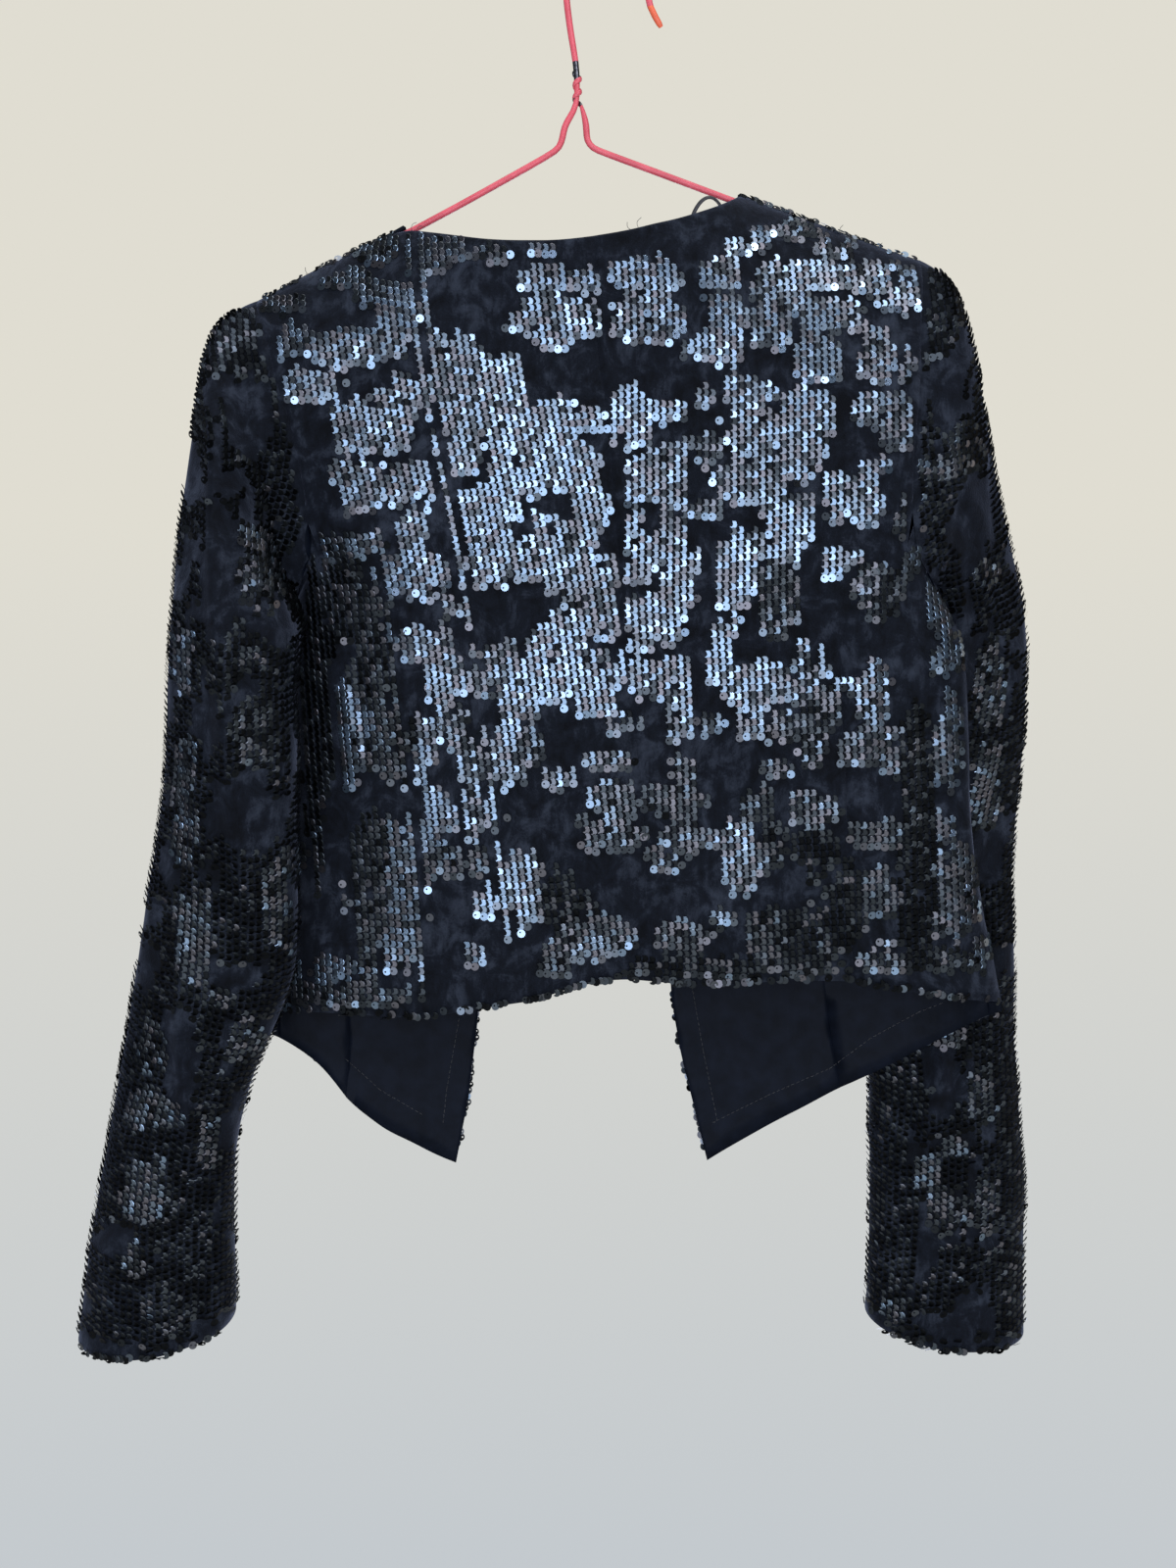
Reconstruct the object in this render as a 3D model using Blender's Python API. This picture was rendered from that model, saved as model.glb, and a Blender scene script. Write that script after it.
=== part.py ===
# Cropped open-front sequin jacket on a coated wire hanger, seen from the jacket's back (-Y).
# Metres, +Z up, +X to the right of the jacket's back. The origin is the inside top of the hook.
import math

import bmesh
import bpy
import numpy as np
from mathutils import Vector

# Walls, seams and wire; the lining's upper rows start this share of a column clear of the armhole
clothWall = 0.0018
liningWall = 0.0012
liningInset = 0.25
seamGap = 0.0003
wireDiameter = 0.0035

# The cloth over the hanger's arms: how far its ridge sits from the wire, and the bridge over the neck
ridgeEase = 0.76
neckCentre, neckReach = -0.020, 0.012
bridgeHeight, bridgeShape = 0.045, 0.75
slopeReach = 0.004

# Depth of the hanging body, from the plane of the hanger to each face
backDepth = 0.030
frontDepth = 0.023
domeHeight = 0.125
sectionPower = 3.0
swingLeft = 0.014
swingRight = -0.016
swingHeight = 0.160

# Levels: the top of the side panels, the underarm points
sidePanelTop = -0.338
underarmLevel = -0.359
upperEdgeLevel = -0.195
upperEdge = {"left": -0.280, "right": 0.262}

# Rows down each panel: to the side panel top, to the underarm, to the hem; a low ease packs the top ones
upperRows, armRows, lowerRows = 10, 2, 9
rowEase = 0.35
# Columns across the panels; a column lies this turn (radians) before the neck corner
neckColumns, shoulderColumns, sideColumns, frontColumns = 5, 5, 5, 8
neckTurn = 0.050
# Where the search for a column's ends starts, and its rounds
searchTop, searchFoot, searchRounds = -0.170, -0.600, 12
# Folds fade in over this fall from the shoulder; normals are measured over this probe
foldFade, probe = 0.030, 0.0001

# Seams down the body, each row: x, z
centreBackSeam = [(-0.008, -0.100), (-0.008, -0.168), (0.001, -0.288), (0.008, -0.362), (0.020, -0.494),
                  (0.024, -0.572), (0.027, -0.680)]
backSeam = {
    "left": [(-0.160, -0.338), (-0.139, -0.350), (-0.119, -0.369), (-0.099, -0.411), (-0.084, -0.465),
             (-0.077, -0.510), (-0.070, -0.590)],
    "right": [(0.163, -0.338), (0.146, -0.349), (0.133, -0.366), (0.127, -0.400), (0.129, -0.465),
              (0.132, -0.533), (0.134, -0.590)],
}
frontSeam = {
    "left": [(-0.160, -0.338), (-0.152, -0.360), (-0.147, -0.400), (-0.145, -0.465), (-0.147, -0.560),
             (-0.150, -0.650)],
    "right": [(0.163, -0.338), (0.148, -0.360), (0.132, -0.400), (0.124, -0.465), (0.122, -0.565),
              (0.127, -0.600), (0.133, -0.640)],
}
armhole = {
    "left": [(-0.196, -0.199), (-0.190, -0.214), (-0.183, -0.238), (-0.175, -0.263), (-0.170, -0.290),
             (-0.167, -0.317), (-0.167, -0.338), (-0.176, -0.359)],
    "right": [(0.175, -0.173), (0.174, -0.197), (0.172, -0.225), (0.169, -0.257), (0.167, -0.285),
              (0.166, -0.312), (0.169, -0.338), (0.181, -0.359)],
}
sideEdge = {
    "left": [(-0.176, -0.359), (-0.181, -0.385), (-0.182, -0.437), (-0.183, -0.492), (-0.186, -0.548),
             (-0.190, -0.600), (-0.192, -0.680)],
    "right": [(0.181, -0.359), (0.190, -0.372), (0.197, -0.395), (0.198, -0.438), (0.200, -0.492),
              (0.209, -0.546), (0.217, -0.586), (0.219, -0.680)],
}
frontEdge = {
    "left": [(-0.1145, -0.150), (-0.105, -0.196), (-0.088, -0.252), (-0.078, -0.308), (-0.074, -0.375),
             (-0.072, -0.465), (-0.074, -0.592), (-0.078, -0.640), (-0.086, -0.681)],
    "right": [(0.0745, -0.130), (0.066, -0.187), (0.051, -0.242), (0.041, -0.298), (0.037, -0.365),
              (0.035, -0.465), (0.035, -0.579), (0.046, -0.633), (0.058, -0.680)],
}

# Outlines across the body, each row: x, z
backNeck = [(-0.1145, -0.1565), (-0.081, -0.164), (-0.054, -0.168), (-0.033, -0.168), (-0.008, -0.165),
            (0.021, -0.160), (0.043, -0.153), (0.062, -0.146), (0.0745, -0.1365)]
backHem = [(-0.190, -0.592), (-0.162, -0.592), (-0.099, -0.594), (-0.070, -0.587), (-0.043, -0.584),
           (-0.017, -0.576), (0.009, -0.571), (0.034, -0.574), (0.066, -0.575), (0.103, -0.571),
           (0.140, -0.572), (0.165, -0.578), (0.218, -0.584)]
tail = {
    "left": [(-0.192, -0.606), (-0.179, -0.615), (-0.158, -0.632), (-0.149, -0.645), (-0.130, -0.660),
             (-0.107, -0.672), (-0.086, -0.681)],
    "right": [(0.057, -0.680), (0.064, -0.675), (0.090, -0.660), (0.114, -0.647), (0.137, -0.635),
              (0.172, -0.618), (0.192, -0.606), (0.219, -0.588)],
}

# Hanger: the arms' tops carry the shoulders; each row: x, z of the wire's centre
hookRadius = 0.0233
hookTipTurn, hookShankTurn = math.radians(-14), math.radians(188)
hookTip = (0.0302, -0.0405)
shank = [(-0.0222, -0.032), (-0.0205, -0.045), (-0.0178, -0.060), (-0.0170, -0.072), (-0.0172, -0.084)]
leftArm = [(-0.0212, -0.0905), (-0.0243, -0.096), (-0.0250, -0.101), (-0.0268, -0.1078), (-0.032, -0.1115),
           (-0.060, -0.1272), (-0.105, -0.1523), (-0.160, -0.1795), (-0.2015, -0.2018)]
leftCorner = (-0.2022, -0.2090, 0.0072)
rightArm = [(-0.0124, -0.092), (-0.0118, -0.098), (-0.0118, -0.1035), (-0.0085, -0.1080), (-0.003, -0.1102),
            (0.030, -0.1224), (0.066, -0.1360), (0.120, -0.1560), (0.1720, -0.1756)]
rightCorner = (0.1706, -0.1828, 0.0076)
leftCornerTurn, rightCornerTurn = (-18, 172), (176, -20)
wrapTurns, wrapTop, wrapBottom = 2.5, -0.0655, -0.0835
hookSteps, cornerSteps, wrapSteps = 15, 6, 20

# Sleeves. The rows from the armhole (0) to the cuff (1):
# place, outer x, outer z, inner x, inner z, outer y, inner y, half depth
sleeveRings, sleeveSides = 21, 24
# Extra seam gaps at the underarm, where the wall turns downwards along this direction (outwards, up)
underarmEase = 2.5
underarmWay = (0.8, -0.6)
armRowsBelow = 0.100
# Section: how square the sleeve's round is, and how much a fold narrows it; the cuff dips at the back
swellPower, foldPinch = 0.9, 0.55
cuffDrop, cuffStart = 0.012, 0.80
sleeve = {
    "left": [
        (0.05, -0.2090, -0.1990, -0.1815, -0.3555, 0.000, 0.006, 0.020),
        (0.10, -0.2200, -0.2080, -0.1820, -0.3640, -0.003, -0.003, 0.023),
        (0.19, -0.2275, -0.2560, -0.1760, -0.3930, -0.012, -0.018, 0.026),
        (0.28, -0.2350, -0.3150, -0.1710, -0.4300, -0.019, -0.026, 0.028),
        (0.38, -0.2390, -0.3800, -0.1700, -0.4680, -0.024, -0.029, 0.029),
        (0.48, -0.2410, -0.4450, -0.1700, -0.5100, -0.026, -0.030, 0.028),
        (0.61, -0.2520, -0.5300, -0.1710, -0.5640, -0.026, -0.030, 0.026),
        (0.74, -0.2660, -0.6190, -0.1990, -0.6360, -0.024, -0.028, 0.025),
        (0.87, -0.2790, -0.6890, -0.2060, -0.6900, -0.022, -0.024, 0.026),
        (1.00, -0.2910, -0.7670, -0.2060, -0.7550, -0.020, -0.020, 0.027),
    ],
    "right": [
        (0.05, 0.1890, -0.1785, 0.1855, -0.3560, 0.000, -0.010, 0.020),
        (0.10, 0.1995, -0.1960, 0.1865, -0.3630, 0.002, 0.000, 0.023),
        (0.19, 0.2120, -0.2440, 0.1870, -0.3900, 0.011, 0.016, 0.026),
        (0.28, 0.2235, -0.2980, 0.1780, -0.4290, 0.020, 0.029, 0.027),
        (0.38, 0.2380, -0.3550, 0.1660, -0.4700, 0.026, 0.034, 0.027),
        (0.48, 0.2415, -0.4120, 0.1560, -0.5130, 0.033, 0.038, 0.027),
        (0.61, 0.2345, -0.5040, 0.1530, -0.5750, 0.036, 0.040, 0.026),
        (0.74, 0.2345, -0.6030, 0.1530, -0.6370, 0.035, 0.038, 0.025),
        (0.87, 0.2395, -0.6960, 0.1520, -0.6990, 0.029, 0.031, 0.026),
        (1.00, 0.2375, -0.7740, 0.1490, -0.7650, 0.023, 0.024, 0.027),
    ],
}

# Largest folds of the sleeves: side, place down the sleeve, turn round it, run of the turn along
# the fold, half length, half width (as turn), depth inwards
sleeveFolds = [
    ("left", 0.30, 0.70, 0.25, 0.22, 0.30, 0.0045),
    ("left", 0.62, 0.95, 0.55, 0.16, 0.26, 0.0050),
    ("left", 0.80, 2.05, 0.40, 0.15, 0.28, 0.0035),
    ("left", 0.18, 1.70, -0.60, 0.10, 0.30, 0.0040),
    ("right", 0.30, 0.75, 1.10, 0.10, 0.28, 0.0050),
    ("right", 0.38, 0.62, 0.90, 0.08, 0.26, 0.0045),
    ("right", 0.70, 1.35, 1.20, 0.16, 0.30, 0.0045),
    ("right", 0.20, 4.90, 0.60, 0.14, 0.32, 0.0045),
    ("left", 0.45, 4.60, -0.80, 0.14, 0.30, 0.0045),
]

# Largest soft folds of the body: face, top x, top z, foot x, foot z, half width, depth inwards
bodyFolds = [
    ("back", 0.172, -0.390, 0.166, -0.560, 0.011, 0.0050),
    ("back", -0.152, -0.360, -0.146, -0.540, 0.012, 0.0045),
    ("back", -0.176, -0.250, -0.120, -0.300, 0.014, 0.0030),
    ("back", 0.060, -0.420, 0.085, -0.575, 0.016, 0.0030),
    ("back", -0.100, -0.470, -0.112, -0.590, 0.014, 0.0030),
    ("back", 0.000, -0.215, -0.050, -0.300, 0.018, 0.0022),
    ("front", -0.110, -0.330, -0.106, -0.600, 0.016, 0.0035),
    ("front", 0.080, -0.320, 0.090, -0.620, 0.016, 0.0035),
]

# The small ribbon loop sewn inside the right end of the back neck
loopWidth, loopThick = 0.0024, 0.0006
loopStart, loopEnd, loopFoot, loopRise, loopSteps = 0.0450, 0.0650, 0.006, 0.0145, 10
loopGap, loopShape = 0.0007, 0.6


def along(table, place, key=0, value=1):
    """Smooth value of one column of a table at a place in another column."""
    rows = sorted(table, key=lambda row: row[key])
    keys = [row[key] for row in rows]
    values = [row[value] for row in rows]
    if place <= keys[0]:
        return values[0]
    if place >= keys[-1]:
        return values[-1]
    index = max(i for i in range(len(keys) - 1) if keys[i] <= place)
    steps = [(values[i + 1] - values[i]) / (keys[i + 1] - keys[i]) for i in range(len(keys) - 1)]

    def slope(i):
        if i == 0 or i == len(keys) - 1:
            return steps[min(i, len(steps) - 1)]
        if steps[i - 1] * steps[i] <= 0:
            return 0.0
        return 2 * steps[i - 1] * steps[i] / (steps[i - 1] + steps[i])

    span = keys[index + 1] - keys[index]
    t = (place - keys[index]) / span
    low, high = values[index], values[index + 1]
    ends = (2 * t**3 - 3 * t**2 + 1) * low + (3 * t**2 - 2 * t**3) * high
    return ends + span * ((t**3 - 2 * t**2 + t) * slope(index) + (t**3 - t**2) * slope(index + 1))


def across(table, level):
    """The x of a seam or edge at a level z."""
    return along(table, level, key=1, value=0)


def smoothStep(low, high, place):
    t = min(1.0, max(0.0, (place - low) / (high - low)))
    return t * t * (3 - 2 * t)


def shoulderLine(x):
    """Height of the cloth's middle over the hanger: on the arms, and bridged over the neck."""
    seat = (wireDiameter / 2 + clothWall / 2 + seamGap) / ridgeEase
    arms = [(px, pz) for px, pz in leftArm + rightArm if abs(px - neckCentre) > neckReach]
    left, right = backNeck[0][0], backNeck[-1][0]
    if left < x < right:
        t = (x - left) / (right - left)
        base = shoulderLine(left) * (1 - t) + shoulderLine(right) * t
        return base + bridgeHeight * math.sin(math.pi * t) ** bridgeShape
    slope = (along(arms, x + slopeReach) - along(arms, x - slopeReach)) / (2 * slopeReach)
    return along(arms, x) + seat * math.hypot(1, slope)


def halfWidths(z):
    """The x of the body's middle, and its reach to the left and to the right."""
    middle = across(centreBackSeam, z)
    reach = {}
    for side in ("left", "right"):
        lower = across(sideEdge[side], min(z, underarmLevel))
        blend = smoothStep(underarmLevel, upperEdgeLevel, z)
        reach[side] = abs(lower + (upperEdge[side] - lower) * blend - middle)
    return middle, reach


def turnAt(x, z):
    """Turn round the body's section at a place: -90 degrees at the left edge, 90 at the right."""
    middle, reach = halfWidths(z)
    side = "left" if x < middle else "right"
    return math.asin(max(-1.0, min(1.0, (x - middle) / reach[side])))


def bodyPoint(face, turn, z):
    """A point of the body's middle surface, back or front."""
    middle, reach = halfWidths(z)
    side = "left" if turn < 0 else "right"
    x = middle + reach[side] * math.sin(turn)
    fall = max(0.0, shoulderLine(x) - z)
    dome = math.sqrt(max(0.0, 1 - (1 - min(fall / domeHeight, 1.0)) ** 2))
    section = math.sqrt(max(0.0, 1 - abs(math.sin(turn)) ** sectionPower))
    swing = (swingLeft if side == "left" else swingRight) * math.sin(turn) ** 2
    swing *= smoothStep(0.0, swingHeight, fall)
    depth = -backDepth if face == "back" else frontDepth
    fold = 0.0
    for foldFace, topX, topZ, footX, footZ, width, sink in bodyFolds:
        if foldFace == face:
            t = (topZ - z) / (topZ - footZ)
            lean = topX + (footX - topX) * t
            length = math.exp(-((2 * t - 1) ** 4))
            fold += sink * length * math.exp(-(((x - lean) / width) ** 2))
    fold *= section * smoothStep(0.0, foldFade, fall)
    return np.array([x, swing + depth * section * dome - math.copysign(fold, depth), z])


def surfaceNormal(face, turn, z):
    """The outward normal of the middle surface; both faces share it at the shoulder line and the sides."""
    here = bodyPoint(face, turn, z)
    x = here[0]
    if abs(turn) > math.pi / 2 - 1e-6:
        return np.array([math.copysign(1.0, turn), 0.0, 0.0])
    if shoulderLine(x) - z < 1e-5:
        slope = (shoulderLine(x + 10 * probe) - shoulderLine(x - 10 * probe)) / (20 * probe)
        return np.array([-slope, 0.0, 1.0]) / math.hypot(slope, 1)
    sideways = probe if turn < 0 else -probe
    around = (bodyPoint(face, turn + sideways, z) - here) / sideways
    normal = np.cross(around, bodyPoint(face, turn, z - probe) - here)
    normal /= np.linalg.norm(normal)
    return normal if (normal[1] > 0) == (face == "front") else -normal


def rowLevels(top, bottom, full):
    """Levels down a column: close together at the shoulder, then even to the hem."""
    levels = []
    if full:
        for i in range(upperRows):
            t = i / upperRows
            levels.append(top - (top - sidePanelTop) * t * t / (rowEase + (1 - rowEase) * t))
    for i in range(armRows):
        levels.append(sidePanelTop + (underarmLevel - sidePanelTop) * i / armRows)
    for i in range(lowerRows + 1):
        levels.append(underarmLevel + (bottom - underarmLevel) * i / lowerRows)
    return levels


def panelGrid(face, inner, outer, columns, topLine, bottomLine, full):
    """Middle points and normals of a panel between two seams, from top to bottom."""

    def column(share):
        def xAt(z):
            first, last = turnAt(inner(z), z), turnAt(outer(z), z)
            return first + (last - first) * share

        top, bottom = (searchTop if full else sidePanelTop), searchFoot
        for _ in range(searchRounds):
            if full:
                top = topLine(bodyPoint(face, xAt(top), top)[0])
            bottom = bottomLine(bodyPoint(face, xAt(bottom), bottom)[0])
        return [(xAt(z), z) for z in rowLevels(top, bottom, full)]

    grid = [column(share) for share in columns]
    points = np.array([[bodyPoint(face, turn, z) for turn, z in line] for line in grid])
    normals = np.array([[surfaceNormal(face, turn, z) for turn, z in line] for line in grid])
    return points, normals


def insetEdges(points, edges):
    """Moves the named edges in by half a seam gap."""
    moved = points.copy()
    steps = {"first": (0, 1), "last": (-1, -2)}
    for edge in edges:
        way, end = edge.split("-")
        at, beside = steps[end]
        for k in range(points.shape[1] if way == "side" else points.shape[0]):
            here = (at, k) if way == "side" else (k, at)
            there = (beside, k) if way == "side" else (k, beside)
            step = points[there] - points[here]
            moved[here] += step / max(np.linalg.norm(step), 1e-9) * seamGap / 2
    return moved


def newMaterial(name, colour, roughness, metallic=0.0):
    material = bpy.data.materials.get(name) or bpy.data.materials.new(name)
    material.use_nodes = True
    shader = material.node_tree.nodes["Principled BSDF"]
    shader.inputs["Base Color"].default_value = (*colour, 1.0)
    shader.inputs["Roughness"].default_value = roughness
    shader.inputs["Metallic"].default_value = metallic
    material.diffuse_color = (*colour, 1.0)
    return material


def wallObject(name, outerFace, innerFace, closed, collection, material):
    """A closed cloth wall from two matching grids of points; closed joins the last line to the first."""
    mesh = bmesh.new()
    lines, rows = outerFace.shape[0], outerFace.shape[1]
    outerVerts = [[mesh.verts.new(Vector(p)) for p in line] for line in outerFace]
    innerVerts = [[mesh.verts.new(Vector(p)) for p in line] for line in innerFace]
    spans = lines if closed else lines - 1
    for i in range(spans):
        k = (i + 1) % lines
        for j in range(rows - 1):
            mesh.faces.new((outerVerts[i][j], outerVerts[k][j], outerVerts[k][j + 1], outerVerts[i][j + 1]))
            mesh.faces.new((innerVerts[i][j], innerVerts[i][j + 1], innerVerts[k][j + 1], innerVerts[k][j]))
        for j in (0, rows - 1):
            mesh.faces.new((outerVerts[i][j], innerVerts[i][j], innerVerts[k][j], outerVerts[k][j]))
    if not closed:
        for j in range(rows - 1):
            for i in (0, lines - 1):
                mesh.faces.new((outerVerts[i][j], innerVerts[i][j], innerVerts[i][j + 1],
                                outerVerts[i][j + 1]))
    bmesh.ops.recalc_face_normals(mesh, faces=mesh.faces)
    if mesh.calc_volume(signed=True) < 0:
        bmesh.ops.reverse_faces(mesh, faces=mesh.faces)
    data = bpy.data.meshes.new(name)
    mesh.to_mesh(data)
    mesh.free()
    data.shade_smooth()
    data.set_sharp_from_angle(angle=math.radians(50))
    data.materials.append(material)
    made = bpy.data.objects.new(name, data)
    collection.objects.link(made)
    return made


def sideLine(table):
    return lambda z: across(table, z)


def outerEdge(side, seam):
    """The centre panel's outer edge: the armhole, then the long seam below it."""
    return lambda z: across(armhole[side] if z > sidePanelTop else seam[side], z)


def lowerArmEdge(side):
    """The side panel's outer edge: the foot of the armhole, then the body's edge."""
    return lambda z: across(armhole[side] if z > underarmLevel else sideEdge[side], z)


def evenShares(columns):
    return [i / columns for i in range(columns + 1)]


def neckShares(side):
    """Column places across a centre back panel, with one on the neck corner and one just before it."""
    corner = backNeck[0] if side == "left" else backNeck[-1]
    place = turnAt(*corner) / turnAt(*armhole[side][0])
    neck = [(place - neckTurn) * i / (neckColumns - 1) for i in range(neckColumns)]
    return neck + [place + (1 - place) * i / shoulderColumns for i in range(shoulderColumns + 1)]


def makePanels(collection, velvet, lining):
    backTop = lambda x: along(backNeck, x) if backNeck[0][0] < x < backNeck[-1][0] else shoulderLine(x)
    backBottom = lambda x: along(backHem, x)
    for side in ("left", "right"):
        tailLine = lambda x, side=side: along(tail[side], x)
        plans = [
            (f"back_centre_{side}", "back", sideLine(centreBackSeam), outerEdge(side, backSeam),
             neckShares(side), backTop, backBottom, True, ["side-first", "side-last", "row-first"]),
            (f"back_side_{side}", "back", sideLine(backSeam[side]), lowerArmEdge(side),
             evenShares(sideColumns), None, backBottom, False, ["side-first", "side-last"]),
            (f"front_centre_{side}", "front", sideLine(frontEdge[side]), outerEdge(side, frontSeam),
             evenShares(frontColumns), shoulderLine, tailLine, True, ["side-last", "row-first"]),
            (f"front_side_{side}", "front", sideLine(frontSeam[side]), lowerArmEdge(side),
             evenShares(sideColumns), None, tailLine, False, ["side-first", "side-last"]),
        ]
        for name, face, inner, outer, columns, top, bottom, full, seams in plans:
            points, normals = panelGrid(face, inner, outer, columns, top, bottom, full)
            points = insetEdges(points, seams)
            wallObject(name, points + normals * clothWall / 2, points - normals * clothWall / 2,
                       False, collection, velvet)
            if face == "front":
                makeLining(name.replace("front", "lining"), points, normals, collection, lining)


def makeLining(name, points, normals, collection, lining):
    """The lining lies 0.3 mm inside its front panel; its outer rows start clear of the seams."""
    if name.startswith("lining_centre"):
        inset, facing = points[:, 1:].copy(), normals[:, 1:]
        inset[-1, :upperRows] += (inset[-2, :upperRows] - inset[-1, :upperRows]) * liningInset
    else:
        inset, facing = points[:-1], normals[:-1]
    outerFace = inset - facing * (clothWall / 2 + seamGap)
    wallObject(name, outerFace, outerFace - facing * liningWall, False, collection, lining)


def sleeveGrid(side):
    """Middle points and normals of a sleeve: rings of points from the armhole to the cuff."""
    table = sleeve[side]
    half = sleeveSides // 2
    rings, firstNormals = [], []
    top = shoulderLine(armhole[side][0][0])
    levels = rowLevels(top, underarmLevel - armRowsBelow, True)[: half + 1]
    ring = []
    for j in range(sleeveSides):
        row = j if j <= half else sleeveSides - j
        face = "back" if j <= half else "front"
        z = levels[row]
        turn = turnAt(across(armhole[side], z), z)
        if row == half:
            turn = math.copysign(math.pi / 2, turn)
        here = bodyPoint(face, turn, z)
        ring.append(here)
        down = np.array([math.copysign(underarmWay[0], turn), 0, underarmWay[1]])
        firstNormals.append(surfaceNormal(face, turn, z) if row != half else down)
    rings.append(ring)
    for k in range(1, sleeveRings + 1):
        place = k / sleeveRings
        outX, outZ, inX, inZ, outY, inY, depth = (along(table, place, 0, c) for c in range(1, 8))
        middle = np.array([(outX + inX) / 2, (outY + inY) / 2, (outZ + inZ) / 2])
        reach = np.array([(outX - inX) / 2, (outY - inY) / 2, (outZ - inZ) / 2])
        ring = []
        for j in range(sleeveSides):
            turn = 2 * math.pi * j / sleeveSides
            fold = 0.0
            for foldSide, at, middleTurn, run, length, width, sink in sleeveFolds:
                if foldSide == side:
                    t = (place - at) / length
                    away = turn - (middleTurn + run * t / 2)
                    away = (away + math.pi) % (2 * math.pi) - math.pi
                    fold += sink * math.exp(-(t**4)) * math.exp(-((away / width) ** 2))
            size = 1 - fold / depth * foldPinch
            swell = abs(math.sin(turn)) ** swellPower * math.copysign(1, math.sin(turn))
            droop = -cuffDrop * math.sin(turn) * smoothStep(cuffStart, 1.0, place)
            ring.append(middle + reach * math.cos(turn) * size + np.array([0, -depth * swell * size, droop]))
        rings.append(ring)
    points = np.array(rings).transpose(1, 0, 2)
    normals = np.zeros_like(points)
    for j in range(sleeveSides):
        for k in range(sleeveRings + 1):
            around = points[(j + 1) % sleeveSides, k] - points[j - 1, k]
            down = points[j, min(k + 1, sleeveRings)] - points[j, max(k - 1, 0)]
            n = np.cross(around, down)
            n /= np.linalg.norm(n)
            centre = points[:, k].mean(axis=0)
            normals[j, k] = n if np.dot(n, points[j, k] - centre) > 0 else -n
        normals[j, 0] = firstNormals[j]
    seam = np.roll(points[:, 0], -1, axis=0) - np.roll(points[:, 0], 1, axis=0)
    outward = np.cross(seam, normals[:, 0])
    outward /= np.linalg.norm(outward, axis=1)[:, None]
    outward *= np.sign((outward * (points[:, 1] - points[:, 0])).sum(axis=1))[:, None]
    underarm = [1 + underarmEase * (abs(j - half) <= 1) for j in range(sleeveSides)]
    points[:, 0] += outward * seamGap * np.array(underarm)[:, None]
    return points, normals


def makeSleeves(collection, velvet):
    for side in ("left", "right"):
        points, normals = sleeveGrid(side)
        wallObject(f"sleeve_{side}", points + normals * clothWall / 2, points - normals * clothWall / 2,
                   True, collection, velvet)


def cornerPath(corner, turns, way):
    """The wire's round corner: points between two turns (degrees) about its centre."""
    x, z, radius = corner
    path = []
    for i in range(1, cornerSteps):
        turn = math.radians(turns[0] + (turns[1] - turns[0]) * i / cornerSteps)
        path.append(Vector((x + way * radius * math.sin(turn), 0, z + radius * math.cos(turn))))
    return path


def wirePath():
    """The wire from the hook's tip, down the neck and left arm, along the bar and back up in a wrap."""
    path = [Vector((hookTip[0], 0, hookTip[1]))]
    centre = Vector((0, 0, wireDiameter / 2 - hookRadius))
    for i in range(hookSteps + 1):
        angle = hookTipTurn + (hookShankTurn - hookTipTurn) * i / hookSteps
        path.append(centre + Vector((math.cos(angle), 0, math.sin(angle))) * hookRadius)
    path += [Vector((x, 0, z)) for x, z in shank + leftArm]
    path += cornerPath(leftCorner, leftCornerTurn, -1)
    path += cornerPath(rightCorner, rightCornerTurn, 1)
    path += [Vector((x, 0, z)) for x, z in reversed(rightArm)]
    wrapRadius = wireDiameter + seamGap * 2
    for i in range(wrapSteps + 1):
        t = i / wrapSteps
        angle = 2 * math.pi * wrapTurns * t
        z = wrapBottom + (wrapTop - wrapBottom) * t
        x = across(shank, z)
        path.append(Vector((x + wrapRadius * math.cos(angle), wrapRadius * math.sin(angle), z)))
    return path


def makeHanger(collection, coating):
    curve = bpy.data.curves.new("hanger", "CURVE")
    curve.dimensions = "3D"
    curve.bevel_depth = wireDiameter / 2
    curve.bevel_resolution = 2
    curve.use_fill_caps = True
    path = wirePath()
    spline = curve.splines.new("POLY")
    spline.points.add(len(path) - 1)
    for point, place in zip(spline.points, path):
        point.co = (*place, 1)
    curve.materials.append(coating)
    collection.objects.link(bpy.data.objects.new("hanger", curve))


def makeLoop(collection, ribbon):
    """A flat ribbon whose two feet lie on the back neckline's inner face, with a small arch above it."""
    outer, inner, line, facings = [], [], [], []
    for i in range(loopSteps + 1):
        t = i / loopSteps
        x = loopStart + (loopEnd - loopStart) * t
        neck = along(backNeck, x)
        z = neck - loopFoot + loopRise * math.sin(math.pi * t) ** loopShape
        level = min(z, neck)
        here = bodyPoint("back", turnAt(x, level), level)
        facing = surfaceNormal("back", turnAt(x, level), level)
        inside = clothWall / 2 + loopGap + loopThick / 2
        line.append(Vector(here - facing * inside) + Vector((0, 0, z - level)))
        facings.append(Vector(facing))
    for i, here in enumerate(line):
        ahead = (line[min(i + 1, loopSteps)] - line[max(i - 1, 0)]).normalized()
        flat = (facings[i] - ahead * facings[i].dot(ahead)).normalized()
        wide = flat.cross(ahead) * loopWidth / 2
        outer.append([here + wide * s + flat * loopThick / 2 for s in (-1, 1)])
        inner.append([here + wide * s - flat * loopThick / 2 for s in (-1, 1)])
    wallObject("hanger_loop", np.array(outer), np.array(inner), False, collection, ribbon)


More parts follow.
